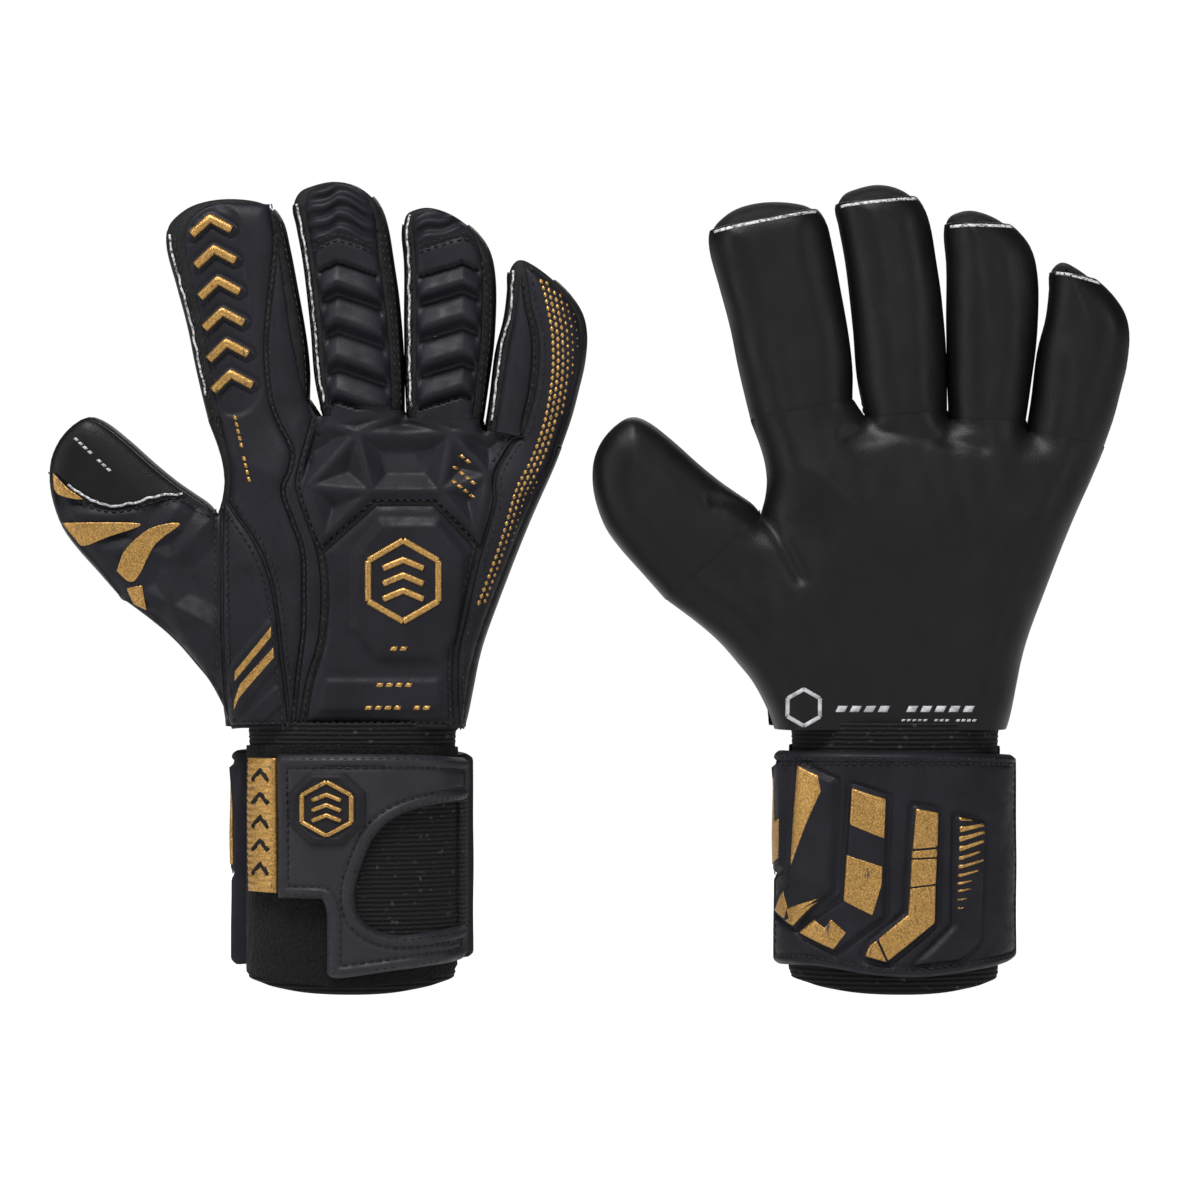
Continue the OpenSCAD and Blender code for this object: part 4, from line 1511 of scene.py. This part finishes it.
def make_badge():
    turns = [math.pi / 8 + math.tau * i / 8 for i in range(8)]
    corners = [(BADGE[0] + 14.2 * math.cos(t), BADGE[1] + 14.2 * math.sin(t)) for t in turns]
    octagon = outline(*[arc_points(side) for side in closed(corners)], step=1.0)

    def depth(points, e):
        return 7.6 + 0.5 * ease((e - 1.2) / 0.8) - 0.5 * ease((e - 2.4) / 0.6) - tucked(e, 0.5, 0.5)
    shape = panel(octagon, depth, BACK, 0.6, (0.4, 0.9), ((0.0, 0.6), (0.1, 1.3)), wrist_place)
    piece("badge_plate", "strap", shape, FOAM_TIP, ("strap_badge",))
    emblem(BADGE, 9.6, "strap", "badge_emblem", level_at(7.9), arc_points, wrist_place)


def emblem(centre, radius, body, name, depth, outline_place, place):
    """A generic raised mark: a hexagon ring round three stacked chevrons, all in gold."""
    shape = Shape()
    corners = [(centre[0] + radius * math.sin(math.tau * i / 6),
                centre[1] + radius * math.cos(math.tau * i / 6)) for i in range(7)]
    bars = [[corners[i], corners[i + 1]] for i in range(6)]
    for k in range(3):
        z = centre[1] + radius * (0.52 - 0.38 * k)
        arm = radius * 0.5
        bars.append([(centre[0] - arm, z - arm * 0.42), (centre[0], z),
                     (centre[0] + arm, z - arm * 0.42)])
    for bar in bars:
        points = outline_place(bar) if outline_place else bar
        line = np.vstack([smooth(points[i:i + 2], 0.8) for i in range(len(points) - 1)])
        line = without_repeats(line, 0.1)
        shape.merge(ribbon(line, depth, round_profile(radius * 0.16, 0.6, 0.4, 4), place=place))
    piece(name, body, shape, GOLD)


# Raised bars of the wrist wrap, seen from the palm, and the gold inlays on them
WRAP_BARS = [
    [(-33.6, 81), (-29.6, 83.5), (-29.8, 45), (-33.4, 42)],
    [(-24.4, 82.6), (-12, 76.6), (-12.7, 38), (-25.5, 23.4), (-31.9, 29), (-27, 39.3)],
    [(-6.1, 75), (6.6, 70.8), (5.3, 28.8), (-11.4, 15.8), (-24.2, 21.9), (-8.9, 34.2)],
    [(16.4, 67.6), (25.1, 66), (23.8, 26.1), (6.3, 11.8), (-1.6, 14.2), (0.3, 18.7), (14, 29.7)],
    [(32, 63.9), (42.2, 61.2), (40.5, 19.4), (33, 13), (17.2, 11.5), (31.5, 25.2)]]
INLAYS = [
    [(-33.4, 79), (-32, 79.8), (-31.5, 62), (-33.3, 55)],
    [(-33.2, 60), (-30.2, 62), (-30.2, 48), (-33, 45)],
    [(-24.1, 81.8), (-17.2, 78.4), (-16.1, 72.9), (-26, 46), (-26.1, 60)],
    [(-31.2, 29), (-28.8, 36.4), (-27.4, 31), (-28.4, 26.6)],
    [(-27.6, 30), (-17.2, 34.4), (-26.6, 26)],
    [(-28, 25.8), (-17.6, 33.2), (-25.5, 24.2)],
    [(-5.7, 74.2), (6.2, 70.4), (5.6, 56.4), (-6.3, 61.3)],
    [(-7.5, 50.4), (4.9, 46.4), (4.7, 40), (1.5, 29), (-8.6, 34.2)],
    [(-23.4, 21.9), (-18.5, 27), (-14.8, 24), (-12.6, 27.2), (-7.5, 22.6), (-12, 16.4)],
    [(16.8, 67), (24.7, 65.5), (24.4, 53.4), (15.6, 52.6)],
    [(15.4, 51.8), (24.3, 52.6), (24.2, 49.8), (15.2, 49.4)],
    [(15.2, 48.7), (24.2, 49.2), (23.8, 40.2), (14.7, 39.1)],
    [(14.7, 38.4), (23.8, 39.6), (23.4, 26.3), (7.0, 12.8), (3.6, 20.6), (14, 29.4)],
    [(2.9, 20), (6.4, 12.4), (-1.2, 14.4), (0.6, 18.6)]]
INLAY_LIFT = 0.12
HATCHING = [((32.4, 62.6), (37.4, 62.2), 1.2), ((32.4, 58.4), (41.2, 60.4), 1.9),
            ((32.2, 55), (41.2, 57.8), 1.8),
            ((32.2, 51.6), (41, 54.6), 1.7), ((32.1, 48.4), (39.6, 51), 1.3),
            ((32, 45.4), (41, 48), 1.2),
            ((31.9, 42.4), (39, 44.4), 1.0), ((31.8, 39.6), (36.4, 40.9), 0.9),
            ((31.8, 37), (36, 38), 0.8),
            ((31.8, 34), (34.6, 34.6), 0.7), ((31.8, 31), (33.6, 31.4), 0.6)]


def wrap_ring(points, step=0.9):
    """A closed outline on the wrist wrap from corners given as seen from the palm."""
    corners = [(float(arc_of(x, 6.0)), z) for x, z in points]
    return outline(*closed(corners), step=step)


def wrap_depth(points, e=None):
    """The wrap's face: rolled edges, and J-shaped bars that stand out of narrow grooves."""
    relief = 0.2 * ripple(points[:, 0], points[:, 1], 26, 9)
    for corners in WRAP_BARS:
        ring = wrap_ring(corners, 2.0)
        near = np.all((points > ring.min(0) - 4) & (points < ring.max(0) + 4), axis=1)
        if np.any(near):
            some = points[near]
            d = distance(some, ring, True) * np.where(inside(some, ring), 1, -1)
            relief[near] += 1.0 * ease((d + 0.3) / 1.3) - 1.3 * np.exp(-((d + 1.1) / 0.8) ** 2)
    if e is not None:
        relief = relief + 0.7 * np.exp(-((e - 1.9) / 1.1) ** 2)
        relief = relief - 0.6 * np.exp(-((e - 3.6) / 0.6) ** 2)
        relief = relief - tucked(e, 1.6, 0.8)
    return 6.0 + relief


def inlay(corners):
    return inked(wrap_ring(corners), lambda p: wrap_depth(p) + INLAY_LIFT, INLAY_LIFT, PALM,
                 wrist_place)


def make_wrap():
    """The palm side of the wrist: a wide padded band that runs round to both sides."""
    ring = outline([(SIDE_ARC - 1, 11.5), (30, 9), (8, 6.8), (-8, 7.4), (-30, 10),
                    (-SIDE_ARC - 2, 9)],
                   [(-SIDE_ARC - 2, 9), (-SIDE_ARC - 3, 50), (-SIDE_ARC - 1, 86.5)],
                   [(-SIDE_ARC - 1, 86.5), (0, 87), (SIDE_ARC - 1, 85)],
                   [(SIDE_ARC - 1, 85), (SIDE_ARC - 1, 11.5)])
    shape = panel(ring, wrap_depth, PALM, 0.95, (0.35, 0.8, 1.4, 2.2, 3.4),
                  ((-0.1, 1.4), (0.1, 3.4), (0.3, 5.4)),
                  wrist_place)
    piece("wrap_foam", "hand", shape, FOAM, ("wrist_wrap",))

    gold = Shape()
    for corners in INLAYS:
        gold.merge(inlay(corners))
    for start, end, width in HATCHING:
        (x, z), (x2, z2) = start, end
        corners = [(x, z), (x2, z2), (x2 - 0.3, z2 + width * 0.5), (x, z + width)]
        gold.merge(inlay(corners))
    piece("wrap_inlays", "hand", gold, GOLD)

    upper = [smooth([(-54, z), (0, z + 1.2), (54, z)]) for z in (83.6, 81.9)]
    others = [smooth(line) for line in (
        [(-54, 12.8), (-30, 13.2), (0, 9.8), (30, 12.2), (54, 14)],
        [(-SIDE_ARC + 3.6, 16), (-SIDE_ARC + 3.2, 50), (-SIDE_ARC + 3.6, 80)],
        [(SIDE_ARC - 5.4, 16), (SIDE_ARC - 5.4, 80)])]
    rows = stitches(upper, level_at(6.25), PALM, wrist_place)
    rows.merge(stitches(others, level_at(6.2), PALM, wrist_place))
    piece("wrap_stitching", "hand", rows, THREAD)


# ---------------------------------------------------------------- run

TARGET = (0, 0, 0.15)
LIGHTS = {                             # place, size in metres, and power in watts
    "key": ((-0.25, -0.55, 1.15), (0.7, 0.35), 21),
    "fill": ((1.1, -0.9, 0.6), (0.3, 0.8), 5),
    "side": ((-1.2, -0.6, 0.4), (0.3, 0.8), 5),
    "back": ((0.2, 1.3, 1.0), (0.9, 0.5), 4),
    "front": ((0.1, -1.5, 0.5), (0.4, 0.3), 3),
}
CAMERA_LENS, CAMERA_PLACE = 110, (-0.0004, -1.312, 0.1444)
FLOOR_CORNERS = [(-6, -4, 0), (6, -4, 0), (6, 6, 0), (-6, 6, 0)]
FLOOR_GLOW, WORLD_GLOW = 0.985, 0.08
WHITE = shade(1.0)


def make_floor(scene):
    mesh = bpy.data.meshes.new("floor")
    mesh.from_pydata(FLOOR_CORNERS, [], [(0, 1, 2, 3)])
    floor = bpy.data.objects.new("floor", mesh)
    scene.collection.objects.link(floor)
    material, tree, shader, coords = start_material("floor_paint")
    tree.links.new(ramp(tree, noise(tree, coords, 3), 0.3, 0.7, shade(0.22), shade(0.24)),
                   shader.inputs["Base Color"])
    shader.inputs["Roughness"].default_value = 1.0
    shader.inputs["Specular IOR Level"].default_value = 0.0
    shader.inputs["Emission Color"].default_value = WHITE
    shader.inputs["Emission Strength"].default_value = FLOOR_GLOW
    mesh.materials.append(material)


def make_world(scene):
    """White where the camera sees it, and a dim fill for everything else."""
    scene.world = bpy.data.worlds.new("studio")
    scene.world.use_nodes = True
    tree = scene.world.node_tree
    soft = tree.nodes["Background"]
    soft.inputs["Strength"].default_value = WORLD_GLOW
    soft.inputs["Color"].default_value = WHITE
    white = node(tree, "Background", {"Color": WHITE, "Strength": 1.0})
    mixed = node(tree, "MixShader", {"Fac": node(tree, "LightPath").outputs["Is Camera Ray"]})
    tree.links.new(soft.outputs[0], mixed.inputs[1])
    tree.links.new(white.outputs[0], mixed.inputs[2])
    tree.links.new(mixed.outputs[0], tree.nodes["World Output"].inputs[0])
    scene.view_settings.view_transform = "Standard"


def make_stage():
    scene = bpy.context.scene
    make_floor(scene)
    make_world(scene)
    for name, (place, size, power) in LIGHTS.items():
        light = bpy.data.lights.new(name, "AREA")
        light.shape = "RECTANGLE"
        light.size, light.size_y = size
        light.energy = power
        obj = bpy.data.objects.new(name, light)
        obj.location = place
        aim = Vector(TARGET) - Vector(place)
        obj.rotation_euler = aim.to_track_quat("-Z", "Y").to_euler()
        scene.collection.objects.link(obj)

    camera = bpy.data.cameras.new("camera")
    camera.lens = CAMERA_LENS
    obj = bpy.data.objects.new("camera", camera)
    obj.location = CAMERA_PLACE
    obj.rotation_euler = (math.pi / 2, 0, 0)
    scene.collection.objects.link(obj)
    scene.camera = obj


for make in (make_stage, make_side_panels, make_middle_panels, make_thumb_back, make_under_cloth,
             make_backings, make_rolls, make_stitching, make_raw_edges, make_marks, make_palm,
             make_lining, make_cuff, make_loop_patch, make_strap, make_badge, make_wrap):
    make()

for side in SIDES:
    for finger in FINGERS:
        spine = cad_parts[side + "_" + finger + "_spine"]
        spine.data.materials.clear()
        spine.data.materials.append(SPINE)
